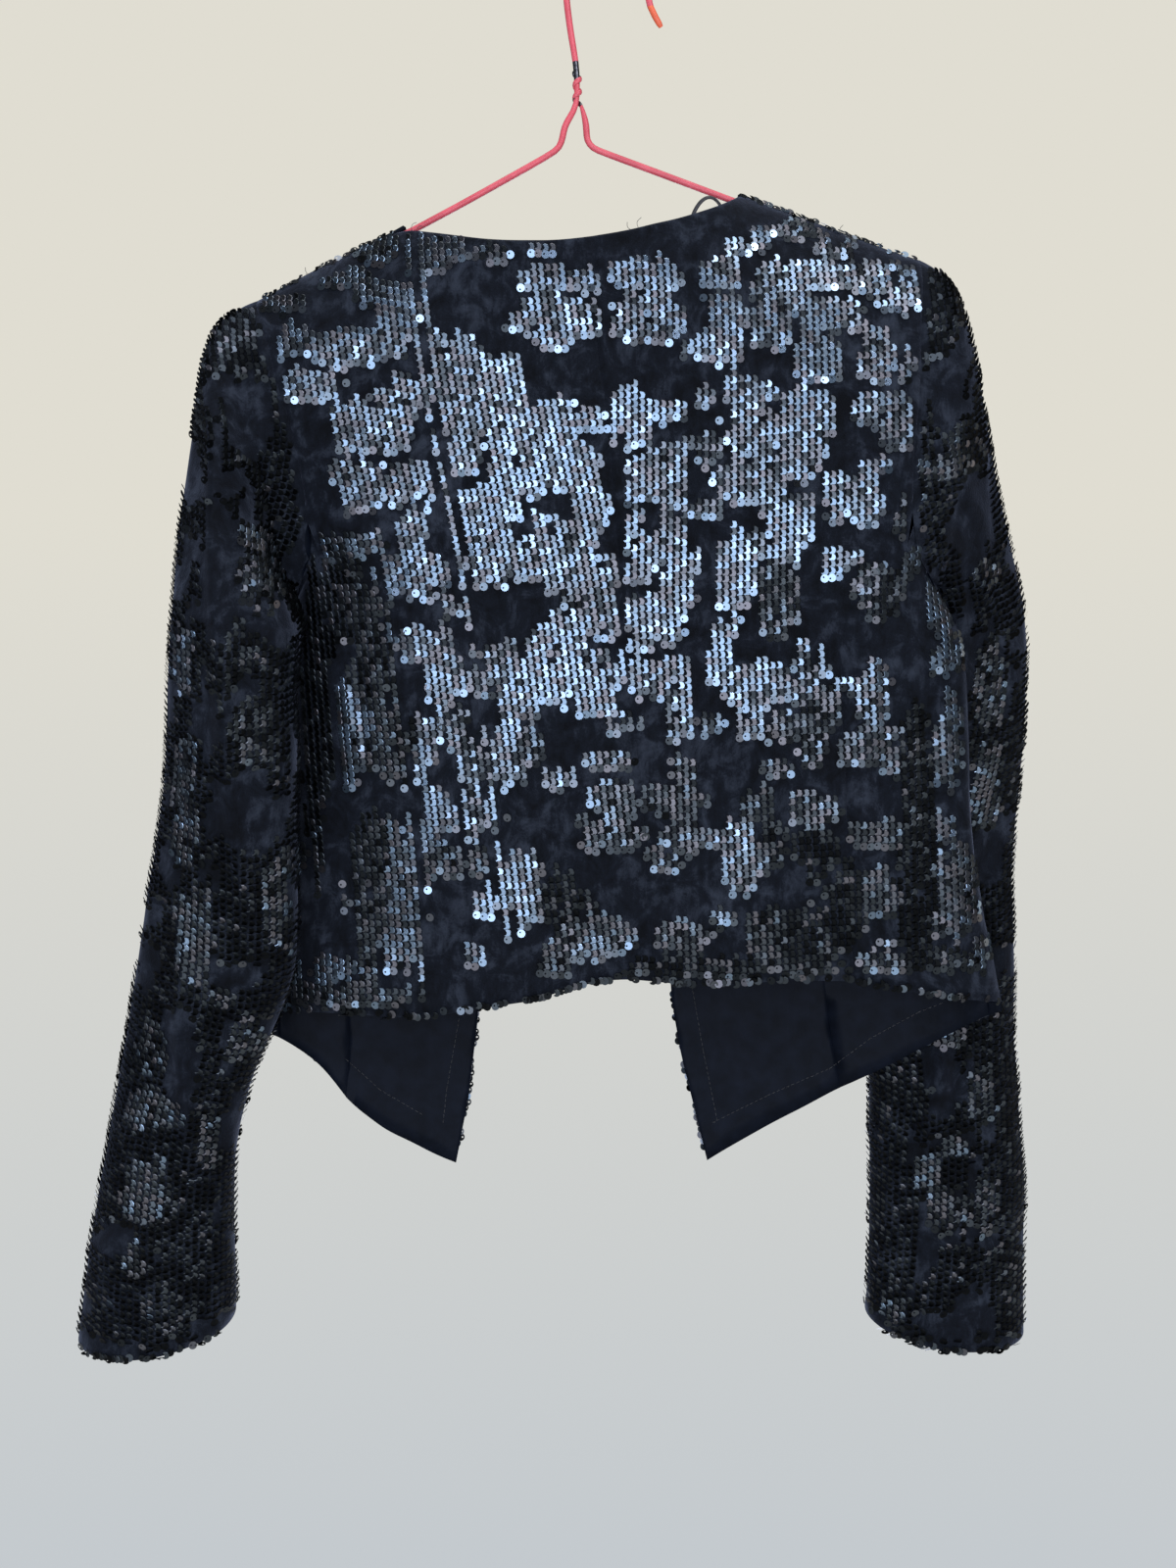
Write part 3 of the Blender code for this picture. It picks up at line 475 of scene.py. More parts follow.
# Patches of sequins on the back, mm: middle x, middle z, half width, half height, how dull, that is how far
# the discs tilt away and how much painted shade darkens them
sequinPatches = [
    # The shoulders and the neck
    (85, -164, 7, 9, 0), (71, -171, 7, 8, 0), (105, -157, 16, 4, 0.2), (126, -168, 12, 6, 0.15),
    (157, -179, 14, 6, 0.15), (-130, -170, 14, 7, 0.1), (-94, -173, 16, 11, 0.05), (-65, -176, 11, 7, 0.05),
    (-35, -173, 11, 5, 0), (-145, -186, 14, 7, 0.15), (-123, -194, 19, 7, 0.05), (-185, -200, 18, 6, 0.2),
    (61, -187, 11, 10, 0), (96, -189, 17, 13, 0), (126, -185, 20, 10, 0), (157, -192, 15, 13, 0),
    (186, -206, 8, 10, 0.05), (178, -226, 10, 6, 0.1),
    # Above the shoulder blades
    (-112, -212, 13, 18, 0.1), (-175, -220, 14, 10, 0), (-143, -225, 23, 9, 0), (-165, -247, 17, 10, 0),
    (-28, -190, 19, 9, 0), (-30, -213, 23, 13, 0), (19, -187, 20, 9, 0), (19, -212, 21, 12, 0),
    (68, -210, 16, 11, 0), (59, -227, 18, 10, 0), (98, -213, 20, 15, 0), (128, -210, 15, 9, 0),
    (115, -233, 11, 12, 0), (148, -231, 9, 17, 0.05), (165, -236, 6, 12, 0.2), (77, -250, 14, 9, 0),
    (51, -253, 6, 6, 0), (150, -262, 20, 9, 0.05), (158, -276, 9, 6, 0.1),
    # The middle of the back, left and right
    (-84, -240, 20, 23, 0), (-105, -250, 13, 11, 0), (-58, -250, 13, 19, 0), (-45, -271, 24, 18, 0),
    (-78, -275, 14, 17, 0), (-130, -268, 22, 15, 0), (-11, -266, 12, 8, 0), (-121, -303, 27, 13, 0),
    (-146, -294, 11, 8, 0.1), (-22, -294, 22, 14, 0), (-8, -314, 9, 12, 0), (-54, -296, 9, 13, 0.05),
    (-66, -312, 21, 11, 0), (-67, -338, 17, 20, 0), (-29, -338, 23, 19, 0), (-8, -362, 15, 25, 0),
    (-108, -331, 8, 14, 0), (-106, -350, 24, 12, 0), (-141, -332, 19, 6, 0.1), (-150, -355, 10, 22, 0.35),
    (-84, -370, 11, 8, 0.1), (12, -266, 12, 15, 0), (34, -262, 12, 7, 0), (76, -273, 16, 15, 0),
    (107, -267, 15, 18, 0), (100, -286, 22, 13, 0), (30, -290, 17, 10, 0.05), (26, -306, 19, 9, 0.05),
    (52, -285, 9, 9, 0.2), (76, -302, 20, 12, 0.05), (51, -317, 14, 6, 0.1), (131, -309, 16, 14, 0),
    (146, -292, 9, 6, 0), (100, -321, 14, 15, 0), (91, -338, 15, 10, 0), (70, -348, 11, 24, 0),
    (15, -336, 8, 19, 0), (37, -351, 14, 30, 0), (92, -363, 10, 26, 0.3), (124, -343, 10, 9, 0),
    (145, -360, 12, 12, 0.25), (164, -318, 9, 13, 0.3), (165, -345, 6, 9, 0.15), (184, -373, 7, 19, 0),
    # The waist
    (-138, -373, 16, 17, 0.35), (-130, -403, 13, 20, 0.35), (-108, -387, 13, 10, 0.05),
    (-92, -401, 13, 19, 0), (-70, -409, 18, 8, 0.1), (-59, -395, 11, 8, 0.1), (-50, -417, 10, 24, 0),
    (-27, -386, 16, 15, 0), (-31, -409, 12, 12, 0), (-8, -412, 12, 18, 0), (7, -432, 9, 7, 0.1),
    (8, -401, 4, 9, 0), (-141, -437, 10, 27, 0), (-118, -443, 15, 20, 0.3), (-101, -440, 6, 20, 0),
    (-87, -433, 9, 15, 0.1), (-63, -452, 17, 15, 0.05), (-45, -448, 7, 16, 0.2), (30, -373, 20, 13, 0),
    (21, -385, 9, 7, 0), (61, -393, 7, 18, 0), (28, -406, 17, 12, 0.05), (38, -426, 6, 15, 0),
    (51, -432, 13, 7, 0.05), (76, -415, 13, 15, 0), (95, -412, 12, 11, 0.05), (88, -433, 16, 8, 0.1),
    (110, -399, 12, 8, 0.1), (111, -432, 12, 22, 0.2), (128, -412, 9, 6, 0.1), (143, -416, 9, 18, 0.05),
    (146, -445, 17, 14, 0.15), (187, -398, 9, 8, 0), (187, -443, 9, 25, 0), (-27, -462, 9, 6, 0.1),
    (-1, -453, 14, 6, 0.15), (1, -473, 13, 9, 0.05), (39, -475, 20, 8, 0.1), (40, -460, 5, 9, 0.05),
    (94, -457, 9, 8, 0.2), (82, -477, 8, 10, 0.15),
    # Below the waist
    (0, -493, 20, 10, 0.1), (-92, -481, 11, 18, 0.05), (-90, -507, 13, 10, 0.25), (-70, -482, 10, 17, 0.1),
    (-114, -497, 12, 14, 0.1), (-111, -537, 12, 30, 0.15), (-51, -523, 15, 22, 0.05), (-66, -532, 9, 8, 0),
    (-70, -508, 9, 7, 0.3), (-8, -548, 20, 14, 0.1), (-29, -562, 10, 9, 0.15), (-78, -559, 7, 9, 0.1),
    (-152, -568, 15, 7, 0.1), (-178, -571, 8, 6, 0.1), (-176, -507, 6, 12, 0.25), (45, -495, 18, 9, 0.1),
    (33, -506, 9, 7, 0.05), (74, -506, 14, 17, 0.05), (90, -496, 8, 13, 0.3), (112, -479, 13, 9, 0.1),
    (112, -502, 10, 15, 0.35), (145, -493, 14, 10, 0.2), (146, -527, 12, 14, 0.15), (183, -490, 9, 7, 0),
    (189, -522, 14, 26, 0), (202, -563, 8, 17, 0), (184, -563, 12, 9, 0.2), (42, -548, 17, 10, 0.05),
    (63, -537, 8, 5, 0.1), (102, -548, 27, 16, 0.3), (149, -559, 13, 8, 0.1),
    # Dense strings down the sides and along the hem, tilted away and painted dark as shade
    (-163, -420, 8, 90, 0.45), (-132, -528, 13, 45, 0.4), (168, -500, 9, 72, 0.45), (196, -330, 9, 70, 0.3),
    (130, -530, 9, 26, 0.35), (-24, -528, 11, 16, 0.35), (70, -567, 62, 7, 0.3), (-150, -583, 40, 7, 0.3)]
# Patches on the backs of the sleeves, same columns: they catch the light, their dullness tilting them and
# painting shade on them less than on the dull strings around, or are bare velvet (-1)
sleevePatches = [
    # The left sleeve from the shoulder down
    (-196, -262, 12, 20, -1), (-190, -332, 17, 6, 0.05), (-181, -352, 15, 13, 0.2), (-208, -352, 9, 36, -1),
    (-230, -397, 8, 19, 0.02), (-190, -438, 14, 16, 0.18), (-192, -478, 13, 22, -1),
    (-228, -475, 9, 36, 0.02), (-235, -510, 5, 14, -1), (-177, -528, 6, 30, 0.1),
    (-223, -546, 12, 24, 0.08), (-212, -580, 11, 5, 0.02), (-196, -602, 10, 13, 0.02),
    (-230, -610, 8, 28, -1), (-246, -605, 10, 18, 0.12), (-245, -640, 17, 13, 0.05),
    (-218, -655, 6, 15, 0.02), (-247, -683, 16, 18, 0.05), (-266, -711, 13, 9, -1),
    (-256, -716, 7, 10, 0.02), (-240, -746, 15, 14, 0.15), (-250, -778, 30, 8, -1),
    (-228, -705, 11, 45, 0.38), (-270, -650, 11, 60, 0.38), (-262, -758, 24, 11, 0.38),
    # The right sleeve
    (184, -252, 8, 18, -1), (178, -290, 12, 6, 0.02), (198, -280, 12, 15, 0.2), (205, -312, 10, 20, -1),
    (212, -348, 7, 8, 0.1), (217, -408, 9, 25, 0.02), (213, -468, 9, 22, 0.05), (212, -508, 11, 18, -1),
    (200, -440, 5, 80, -1), (194, -606, 8, 11, 0.02), (190, -637, 10, 18, -1), (214, -641, 10, 17, 0.15),
    (196, -670, 10, 6, 0.05), (178, -685, 7, 9, 0.02), (190, -705, 14, 15, 0.12), (214, -702, 10, 16, 0.15),
    (160, -760, 7, 5, 0.1), (162, -632, 13, 42, 0.4), (160, -715, 13, 42, 0.42), (226, -690, 7, 75, 0.4),
    (198, -768, 24, 7, -1)]


# One disc of a string: its left side is a notch where the thread runs to the hole, and a tail below it
def drawStringSequin():
    turn = sequin["arcStart"] - sequin["arcEnd"]
    turns = [math.radians(sequin["arcStart"] - i * turn / 7) for i in range(8)]
    outline = [(sequin["radius"] * math.cos(t), sequin["radius"] * math.sin(t)) for t in turns]
    outline += sequin["notch"]
    bpy.ops.mesh.primitive_circle_add(vertices=len(outline), radius=sequin["radius"] * mm, fill_type="NGON")
    piece = bpy.context.object
    for vert, (x, y) in zip(piece.data.vertices, outline):
        vert.co = Vector((x, y, 0)) * mm
    editAll()
    bpy.ops.mesh.inset(thickness=sequin["rim"] * mm, use_even_offset=False)
    bpy.ops.transform.translate(value=(0, 0, sequin["rimDrop"] * mm))
    return takeShape(piece)


# The disc that ends a string or stands alone: flat, with its sewing hole off the middle
def drawEndSequin():
    bpy.ops.mesh.primitive_circle_add(vertices=12, radius=sequin["radius"] * mm, fill_type="NGON")
    piece = bpy.context.object
    editAll()
    bpy.ops.mesh.inset(thickness=(sequin["radius"] - sequin["hole"] * 1.4) * mm)
    bpy.ops.transform.translate(value=(-sequin["holeLeft"] * mm, sequin["holeUp"] * mm, 0))
    bpy.ops.mesh.delete(type="ONLY_FACE")
    return takeShape(piece)


def takeShape(piece):
    bpy.ops.object.mode_set(mode="OBJECT")
    verts = cornersOf(piece)
    faces = [list(p.vertices) for p in piece.data.polygons]
    normal = sum((p.normal for p in piece.data.polygons), Vector())
    if normal.z < 0:
        faces = [f[::-1] for f in faces]
    bpy.data.objects.remove(piece)
    return verts, faces


# A search tree of the outside or all faces of some cloth pieces, and which piece each face is of
def clothTree(names, every=False):
    corners, faces, owners = [], [], []
    for name in names:
        base = len(corners)
        corners += [v.co.copy() for v in cloth[name].data.vertices]
        for polygon in cloth[name].data.polygons:
            if every or polygon.material_index == 0:
                faces.append([base + i for i in polygon.vertices])
                owners.append(name)
    return BVHTree.FromPolygons(corners, faces), owners


# A new piece from copies of small shapes: corners and faces of each
def buildPiece(name, copies, material):
    verts, faces, base = [], [], 0
    for corners, rounds in copies:
        verts.append(corners)
        faces += [[base + i for i in f] for f in rounds]
        base += len(corners)
    data = bpy.data.meshes.new(name)
    data.from_pydata(np.concatenate(verts), [], faces)
    data.materials.append(material)
    return newPiece(name, data)


# Distances along a line of points, from its first one
def distances(points):
    return np.concatenate([[0.0], np.cumsum(np.linalg.norm(np.diff(points, axis=0), axis=1))])


def pointAt(distance, run, points):
    return [np.interp(distance, run, points[:, c]) for c in range(3)]


# A row of points around the cloth at one level, both ways from the start, with their distances along it
def traceLevel(tree, z, section, start, step):
    middleX, middleY, reachX, reachY, core = section(z)
    reachX, reachY = reachX + laying["outside"], reachY + laying["outside"]
    startTurn, runs = -math.pi / 2, []
    if start:
        face, startX = start
        startTurn = (-1 if face == "back" else 1) * math.acos((startX * mm - middleX) / reachX)
    for way in (1, -1):
        run = []
        for i in range(int(math.pi / step) + 1):
            turn = startTurn + way * i * step
            c, s = math.cos(turn), math.sin(turn)
            origin = Vector((middleX + reachX * c, middleY(c) + reachY * s, z))
            inwards = Vector((middleX + core * c, middleY(c), z)) - origin
            hit = tree.ray_cast(origin, inwards.normalized(), inwards.length)[0]
            if hit is None or (run and (hit - run[-1]).length > laying["jump"]):
                break
            run.append(hit)
        runs.append(run)
    if not runs[0]:
        return None
    points = np.array(runs[1][:0:-1] + runs[0])
    along = distances(points)
    return along - along[max(len(runs[1]) - 1, 0)], points


# Discs of one stretch of a string: place, normal, way down and dullness (tilt and painted shade), or None
# where it is bare
def placeDiscs(tree, owners, name, segment, patch, k, wobble):
    line = np.array(segment)
    run = distances(line)
    top, foot = laying["margin"] + chance.random() * mm, run[-1] - laying["foot"]
    kept = []
    for at in np.arange(top, foot, sequin["pitch"] * mm):
        spot, ahead = Vector(pointAt(at, run, line)), Vector(pointAt(at + laying["ahead"], run, line))
        place, normal, index, _ = tree.find_nearest(spot)
        dullTiltAndShade = patch(place, k, wobble) if owners[index] == name else None
        kept.append(None if dullTiltAndShade is None else (place, normal, ahead - spot, dullTiltAndShade))
    return kept


# Places for the sequins of one panel, string by string from the top
def layStrings(tree, owners, name, levels, section, lean, first, start, step, patch, loose):
    traced = [(z, traceLevel(tree, z, section, start, step)) for z in levels]
    traced = [(z, *t) for z, t in traced if t is not None]
    spacing, rise = sequin["spacing"] * mm, math.tan(math.radians(lean))
    low = min(along[0] for _, along, _ in traced) - abs(rise) * laying["fall"]
    high = max(along[-1] for _, along, _ in traced) + abs(rise) * laying["fall"]
    places = []
    for k in range(math.floor(low / spacing), math.ceil(high / spacing) + 1):
        path = []
        for z, along, points in traced:
            u = k * spacing + first * mm + rise * (traced[0][0] - z)
            inside = along[0] + laying["margin"] < u < along[-1] - laying["margin"]
            path.append(pointAt(u, along, points) if inside else None)
        wobble = chance.normal(0, 0.30)
        segment = []
        for point in path + [None]:
            if point is not None:
                segment.append(point)
                continue
            if len(segment) > 2:
                kept = placeDiscs(tree, owners, name, segment, patch, k, wobble) + [None]
                places += [(*found, after is None, loose) for found, after in zip(kept, kept[1:]) if found]
            segment = []
    return places


# Copies the two drawn discs to their places as one piece, each with its own tone, with painted shade where it
# is dull
def sewSequins(name, places, hang=0.0):
    copies, tones = [], []
    for place, normal, down, dullTiltAndShade, last, loose in places:
        shape, rounds = endShape if last else stringShape
        shake = (sequin["endShake"] if last else sequin["shake"]) * loose
        up = -(down - normal * down.dot(normal)).normalized()
        right = up.cross(normal)
        tilt = math.radians(sequin["topOut"] + hang + dullTiltAndShade * sequin["dullOut"] + chance.normal(0, shake))
        roll = math.radians((0 if last else sequin["rightOut"]) + chance.normal(0, shake))
        facing = normal * math.cos(tilt) - up * math.sin(tilt)
        facing = (facing * math.cos(roll) - right * math.sin(roll)).normalized()
        up = (up - facing * up.dot(facing)).normalized()
        right = up.cross(facing)
        spin = chance.normal(0, 0.5 if last else 0.10)
        across = right * math.cos(spin) + up * math.sin(spin)
        upward = up * math.cos(spin) - right * math.sin(spin)
        play = chance.uniform(-sequin["liftPlay"], sequin["liftPlay"])
        lift = (sequin["lift"] + (sequin["endLift"] if last else 0.0) + play) * mm
        copies.append((shape @ np.array([across, upward, facing]) + np.array(place + normal * lift), rounds))
        broad = noise.noise(place * 1000 / toneAndPaintedLight["broadSize"] + Vector((2, 9, 4)))
        # Duller discs are painted darker: painted shade on top of their own tone
        shade = toneAndPaintedLight["middle"] - dullTiltAndShade + toneAndPaintedLight["broad"] * broad + chance.normal(0, toneAndPaintedLight["single"])
        tones += [clamp(shade)] * len(rounds)
    piece = buildPiece(name, copies, filmMaterial)
    piece.data.attributes.new("toneAndPaintedLight", "FLOAT", "FACE").data.foreach_set("value", np.array(tones, np.float32))
    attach(piece, "root")
    print(name, len(places), "sequins")
    return piece


# The body's section at a level, m: middle x, middle y, half width, half depth, half width of its core
def bodySection(z):
    middle = np.interp(z, [-0.680, -0.572, -0.494, -0.362, -0.288, -0.168],
                       [0.027, 0.024, 0.020, 0.008, 0.001, -0.008])
    reach = np.interp(z, [-0.60, -0.36, -0.195, -0.12], [0.205, 0.187, 0.272, 0.272])
    return middle, lambda c: (0.014 if c < 0 else -0.016) * c * c, reach, 0.06, reach - 0.030


# The same for a sleeve, from its middle line
def sleeveSection(axis):
    def section(z):
        x, y, rx, ry = (middleAt(axis, z, c) for c in (1, 2, 3, 4))
        return x, lambda c: y, rx, ry, max(rx - ry, 0.0)
    return section


patchTable, sleeveTable = np.array(sequinPatches, float), np.array(sleevePatches, float)


# The patch that a place lies in, or None: patches have blunt corners and edges that wander
def nearestPatch(table, x, z, reach):
    wander, size, bluntness = 6.5, 19, 2.6
    moveX, moveZ = (wander * waver(x / size, z / size, layer) for layer in (1.0, 8.0))
    away = (abs((x + moveX - table[:, 0]) / table[:, 2])**bluntness
            + abs((z + moveZ - table[:, 1]) / table[:, 3])**bluntness)
    nearest = int(away.argmin())
    return nearest if away[nearest] < reach else None


# How dull the sequins are at a place on the back, tilted away and painted darker as shade, or None where the
# velvet is bare
def backPatch(place, k, wobble):
    x, z = place.x * 1000, place.z * 1000
    ragged = 0.35 * waver(x / 7, k * 2.3, z / 6)
    nearest = nearestPatch(patchTable, x, z, 1.08 + wobble + ragged)
    if nearest is None or waver(x / 9, k * 3.7, z / 8) > 0.58:
        return None
    # Below the waist, right of x = -40 mm the discs are painted duller and to the left brighter: uneven
    # painted light, with the tilt that goes with it
    low = clamp((-430 - z) / 90) * (0.08 if x > -40 else -0.08)
    return patchTable[nearest, 4] + low


# The same for a place on the fronts, which the photograph doesn't show
def frontPatch(place, k, wobble):
    p = place * 1000
    value = waver(p.x / 27, p.y / 27 + 5, p.z / 21)
    value += 0.45 * waver(k * 0.9, p.y / 40, p.z / 12)
    return 0.1 if value + wobble * 0.3 < 0.05 else None


# The same for a sleeve: dense strings, tilted away and painted dark as shade, with charted patches on its
# back half
def sleevePatch(axis):
    def patch(place, k, wobble):
        p = place * 1000
        nearest = None
        if place.y < middleAt(axis, place.z, 2):
            nearest = nearestPatch(sleeveTable, p.x, p.z, 1.05 + wobble)
        if nearest is not None:
            return None if sleeveTable[nearest, 4] < 0 else sleeveTable[nearest, 4] + 0.12
        # Elsewhere the strings are dull: tilted away and painted dark as shade
        value = waver(p.x / 24, p.y / 24 + 5, p.z / 26)
        value += 0.4 * waver(k * 0.9, 3.0, p.z / 12)
        return 0.56 if value + wobble * 0.3 < 0.2 else None
    return patch


stringShape, endShape = drawStringSequin(), drawEndSequin()
bodyTree, bodyOwners = clothTree([n for n in cloth if n.startswith(("back", "front"))])
# Strings of the body: panel, lean in degrees, first string, start of its rows of points, chart, looseness
bodyStrings = [
    ("backCentreLeft", 6.5, 0.0, ("back", -128), backPatch, 1.0),
    ("backSideLeft", 5.0, 1.4, ("back", -150), backPatch, 1.1),
    ("backCentreRight", 1.0, 0.6, ("back", 95), backPatch, 1.0),
    ("backSideRight", 0.0, 2.0, ("back", 160), backPatch, 1.1),
    ("frontCentreLeft", 2.0, 0.3, ("front", -165), frontPatch, 1.2),
    ("frontSideLeft", 1.0, 1.9, ("front", -160), frontPatch, 1.2),
    ("frontCentreRight", -2.0, 1.1, ("front", 130), frontPatch, 1.2),
    ("frontSideRight", 0.0, 0.5, ("front", 160), frontPatch, 1.2)]
# Strings of the sleeves: their lean, how loosely the discs hang, and how far they stand out in degrees
sleeveStrings = {"sleeveLeft": 3.0, "sleeveRight": -2.0, "loose": 2.2, "hang": 8.0}
for name, lean, first, start, patch, loose in bodyStrings:
    heights = cornersOf(cloth[name])[:, 2]
    levels = np.arange(heights.max() - 0.0005, heights.min() - 0.003, -laying["bodyRow"])
    places = layStrings(bodyTree, bodyOwners, name, levels, bodySection, lean, first, start,
                        math.radians(laying["bodyTurn"]), patch, loose)
    sewSequins(name + "Sequins", places)
for name in ("sleeveLeft", "sleeveRight"):
    tree, owners = clothTree([name])
    corners = cornersOf(cloth[name])
    axis = sleeveAxis(corners)
    levels = np.arange(corners[:, 2].max() - 0.002, corners[:, 2].min() - 0.004, -laying["sleeveRow"])
    places = layStrings(tree, owners, name, levels, sleeveSection(axis), sleeveStrings[name], 0.0, None,
                        math.radians(laying["sleeveTurn"]), sleevePatch(axis), sleeveStrings["loose"])
    sewSequins(name + "Sequins", places, sleeveStrings["hang"])


# Discs along the edges, where the strings go over and stand out: piece names, x from, x to, share, dullest
# (tilt and painted shade)
edgeRuns = {
    "shoulder": [(("backCentreLeft",), -192, -116, 0.28, 0.35), (("backCentreRight",), 76, 172, 0.28, 0.35)],
    "hem": [(("backCentreLeft", "backSideLeft", "backCentreRight", "backSideRight"), -188, 216, 0.10, 0.6),
            (("sleeveLeft",), -288, -208, 0.22, 0.6), (("sleeveRight",), 151, 236, 0.22, 0.6)],
}
# Front edges of the tails: piece name, z from, z to, way out of the edge
tailRuns = [("frontCentreLeft", -580, -676, 1), ("frontCentreRight", -575, -674, -1)]


def edgePlaces(kind, names, start, end, share, dullestTiltAndShade):
    tree, _ = clothTree(names)
    points = np.concatenate([cornersOf(cloth[n]) for n in names])
    hem, places = kind == "hem", []
    for x in np.arange(start, end, sequin["spacing"] * 0.62) * mm:
        column = points[abs(points[:, 0] - x) < 0.004]
        if hem:
            level = column[:, 2].min() + 0.0016
            depth = column[abs(column[:, 2] - level) < 0.003][:, 1].min()
        else:
            level, depth = column[:, 2].max(), chance.uniform(-0.006, 0.001)
        if waver(x * 1000 / 9, len(kind), 2.0) + chance.uniform(-0.4, 0.4) < share:
            spot = Vector((x, depth, level + chance.uniform(-0.0015, 0.0005)))
            place, normal, _, _ = tree.find_nearest(spot)
            down = Vector((chance.uniform(-0.3, 0.3), 0.0 if hem else -0.5, -1.0))
            # Edge discs are dull at random: tilted away and painted darker as shade
            dullTiltAndShade = chance.uniform(0.35 * dullestTiltAndShade, dullestTiltAndShade)
            places.append((place, normal, down, dullTiltAndShade, chance.random() < 0.55, 2.2))
    return places


def tailPlaces(name, start, end, way):
    tree, _ = clothTree([name])
    points = cornersOf(cloth[name])
    places = []
    for z in np.arange(start, end, -sequin["pitch"] * 0.9) * mm:
        row = points[abs(points[:, 2] - z) < 0.005]
        edge = row[(row[:, 0] * way).argmax()]
        if waver(z * 1000 / 8, 3.0, way) < 0.15:
            spot = Vector((edge[0] - way * chance.uniform(0.0004, 0.0016), edge[1] + 0.001, z))
            place, normal, _, _ = tree.find_nearest(spot)
            places.append((place, normal, Vector((0, 0, -1)), chance.uniform(0.1, 0.5), True, 2.0))
    return places


edges = [place for kind, runs in edgeRuns.items() for run in runs for place in edgePlaces(kind, *run)]
edges += [place for run in tailRuns for place in tailPlaces(*run)]
sewSequins("edgeSequins", edges)
print("sequins sewn")

# Hanger: the drawn wire, its coral dip, the bare twist at the neck and the orange tip on the hook, mm
wire = {"tipX": 23.5, "tipZ": -30.0, "tipSwell": 1.3, "tipFoot": -42.0, "tipEnd": -50.0, "coat": 0.28,
        "bareTop": -60.0, "lumpTop": -68.5, "lumpFoot": -80.5, "twistFoot": -85.5, "twistX": -18,
        "twistSide": 7.5, "twistStart": 2.3, "tight": 0.5, "tightStart": 1.3, "quadAngle": 30}
# Axis of the shank through the twist, mm: z, x
shankAxis = np.array([(-91.0, -17.6), (-84.0, -17.2), (-72.0, -17.0), (-60.0, -17.8)])


# The wrap is twisted tight against the shank, the tip swells where it was dipped twice, the dip adds a coat
def shapeWire(mesh):
    for vert in mesh.verts:
        x, y, z = vert.co * 1000
        if wire["twistFoot"] < z < wire["bareTop"] and abs(x - wire["twistX"]) < wire["twistSide"]:
            middle = np.interp(z, shankAxis[:, 0], shankAxis[:, 1])
            away = math.hypot(x - middle, y)
            if away > wire["twistStart"]:
                closer = (wire["tightStart"] + (away - wire["twistStart"]) * wire["tight"]) / away
                vert.co.x, vert.co.y = (middle + (x - middle) * closer) * mm, y * closer * mm
            continue
        swell = wire["coat"]
        if x > wire["tipX"] and wire["tipFoot"] < z < wire["tipZ"]:
            t = min(1.0, (wire["tipZ"] - z) / (wire["tipZ"] - wire["tipFoot"]) * 1.15)
            lump = 0.8 + 0.3 * noise.noise(vert.co * 300)
            swell += wire["tipSwell"] * math.sin(math.pi * t) ** 0.7 * lump
        vert.co += vert.normal * swell * mm


def dressHanger():
    piece = copyNode("coatedWire", "hanger", coralMaterial, tipMaterial, steelMaterial)
    mesh = openMesh(piece, wire["quadAngle"])
    for face in mesh.faces:
        x, y, z = face.calc_center_median() * 1000
        onTip = x > wire["tipX"] and wire["tipEnd"] < z < wire["tipZ"]
        bare = wire["lumpTop"] < z < wire["bareTop"] or wire["twistFoot"] < z < wire["lumpFoot"]
        face.material_index = 1 if onTip else 2 if bare and abs(x - wire["twistX"]) < wire["twistSide"] else 0
    shapeWire(mesh)
    makeFiner(piece, mesh, 1)
    shadeSmooth(piece)
    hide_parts("hanger")
    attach(piece, "root")


def dressLoop():
    piece = copyNode("ribbonLoop", "hanger_loop", ribbonMaterial)
    makeFiner(piece, openMesh(piece, drape["quadAngle"]), 1)
    shadeSmooth(piece)
    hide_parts("hanger_loop")
    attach(piece, "root")


dressHanger()
dressLoop()
print("hanger and loop dressed")

# Topstitching on the lining of the tails: lines seen from the back, mm: x, z
stitch = {"long": 2.1, "gap": 0.9, "thick": 0.36, "proud": 0.05}
stitchLines = [
    [(-85, -600), (-92, -640), (-94, -659)], [(-149, -623), (-130, -640), (-106, -654)],
    [(48, -578), (55, -618), (63, -658)],
    [(61, -658), (92, -642), (127, -626), (149, -609), (176, -593), (187, -588)],
]


# Points on the lining under a drawn line, seen along +Y
def stitchSpots(tree, line, step):
    spots = []
    for (x0, z0), (x1, z1) in zip(line, line[1:]):
        length = math.hypot(x1 - x0, z1 - z0)
        for i in range(int(length / step) + 1):
            t = i * step / length
            x, z = (x0 + (x1 - x0) * t) * mm, (z0 + (z1 - z0) * t) * mm
            hit, normal, _, _ = tree.ray_cast(Vector((x, -0.2, z)), Vector((0, 1, 0)))
            if hit:
                spots.append((hit, normal, Vector((x1 - x0, 0, z1 - z0)).normalized()))
    return spots


# One stitch, modelled once: a short thread lying in the cloth, thick in the middle
def drawStitch():
    bpy.ops.mesh.primitive_cylinder_add(vertices=6, radius=stitch["thick"] * mm / 2,
                                        depth=stitch["long"] * mm, rotation=(0, math.pi / 2, 0))
    bpy.ops.object.transform_apply()
    piece = bpy.context.object
    editAll()
    bpy.ops.mesh.subdivide(number_cuts=1)
    bpy.ops.object.mode_set(mode="OBJECT")
    for vert in piece.data.vertices:
        ease = 1 - abs(vert.co.x) / (stitch["long"] * mm / 2)
        vert.co.y *= 0.55 + 0.45 * ease
        vert.co.z = vert.co.z * (0.55 + 0.45 * ease) + (ease - 0.6) * stitch["proud"] * mm
    return takeShape(piece)


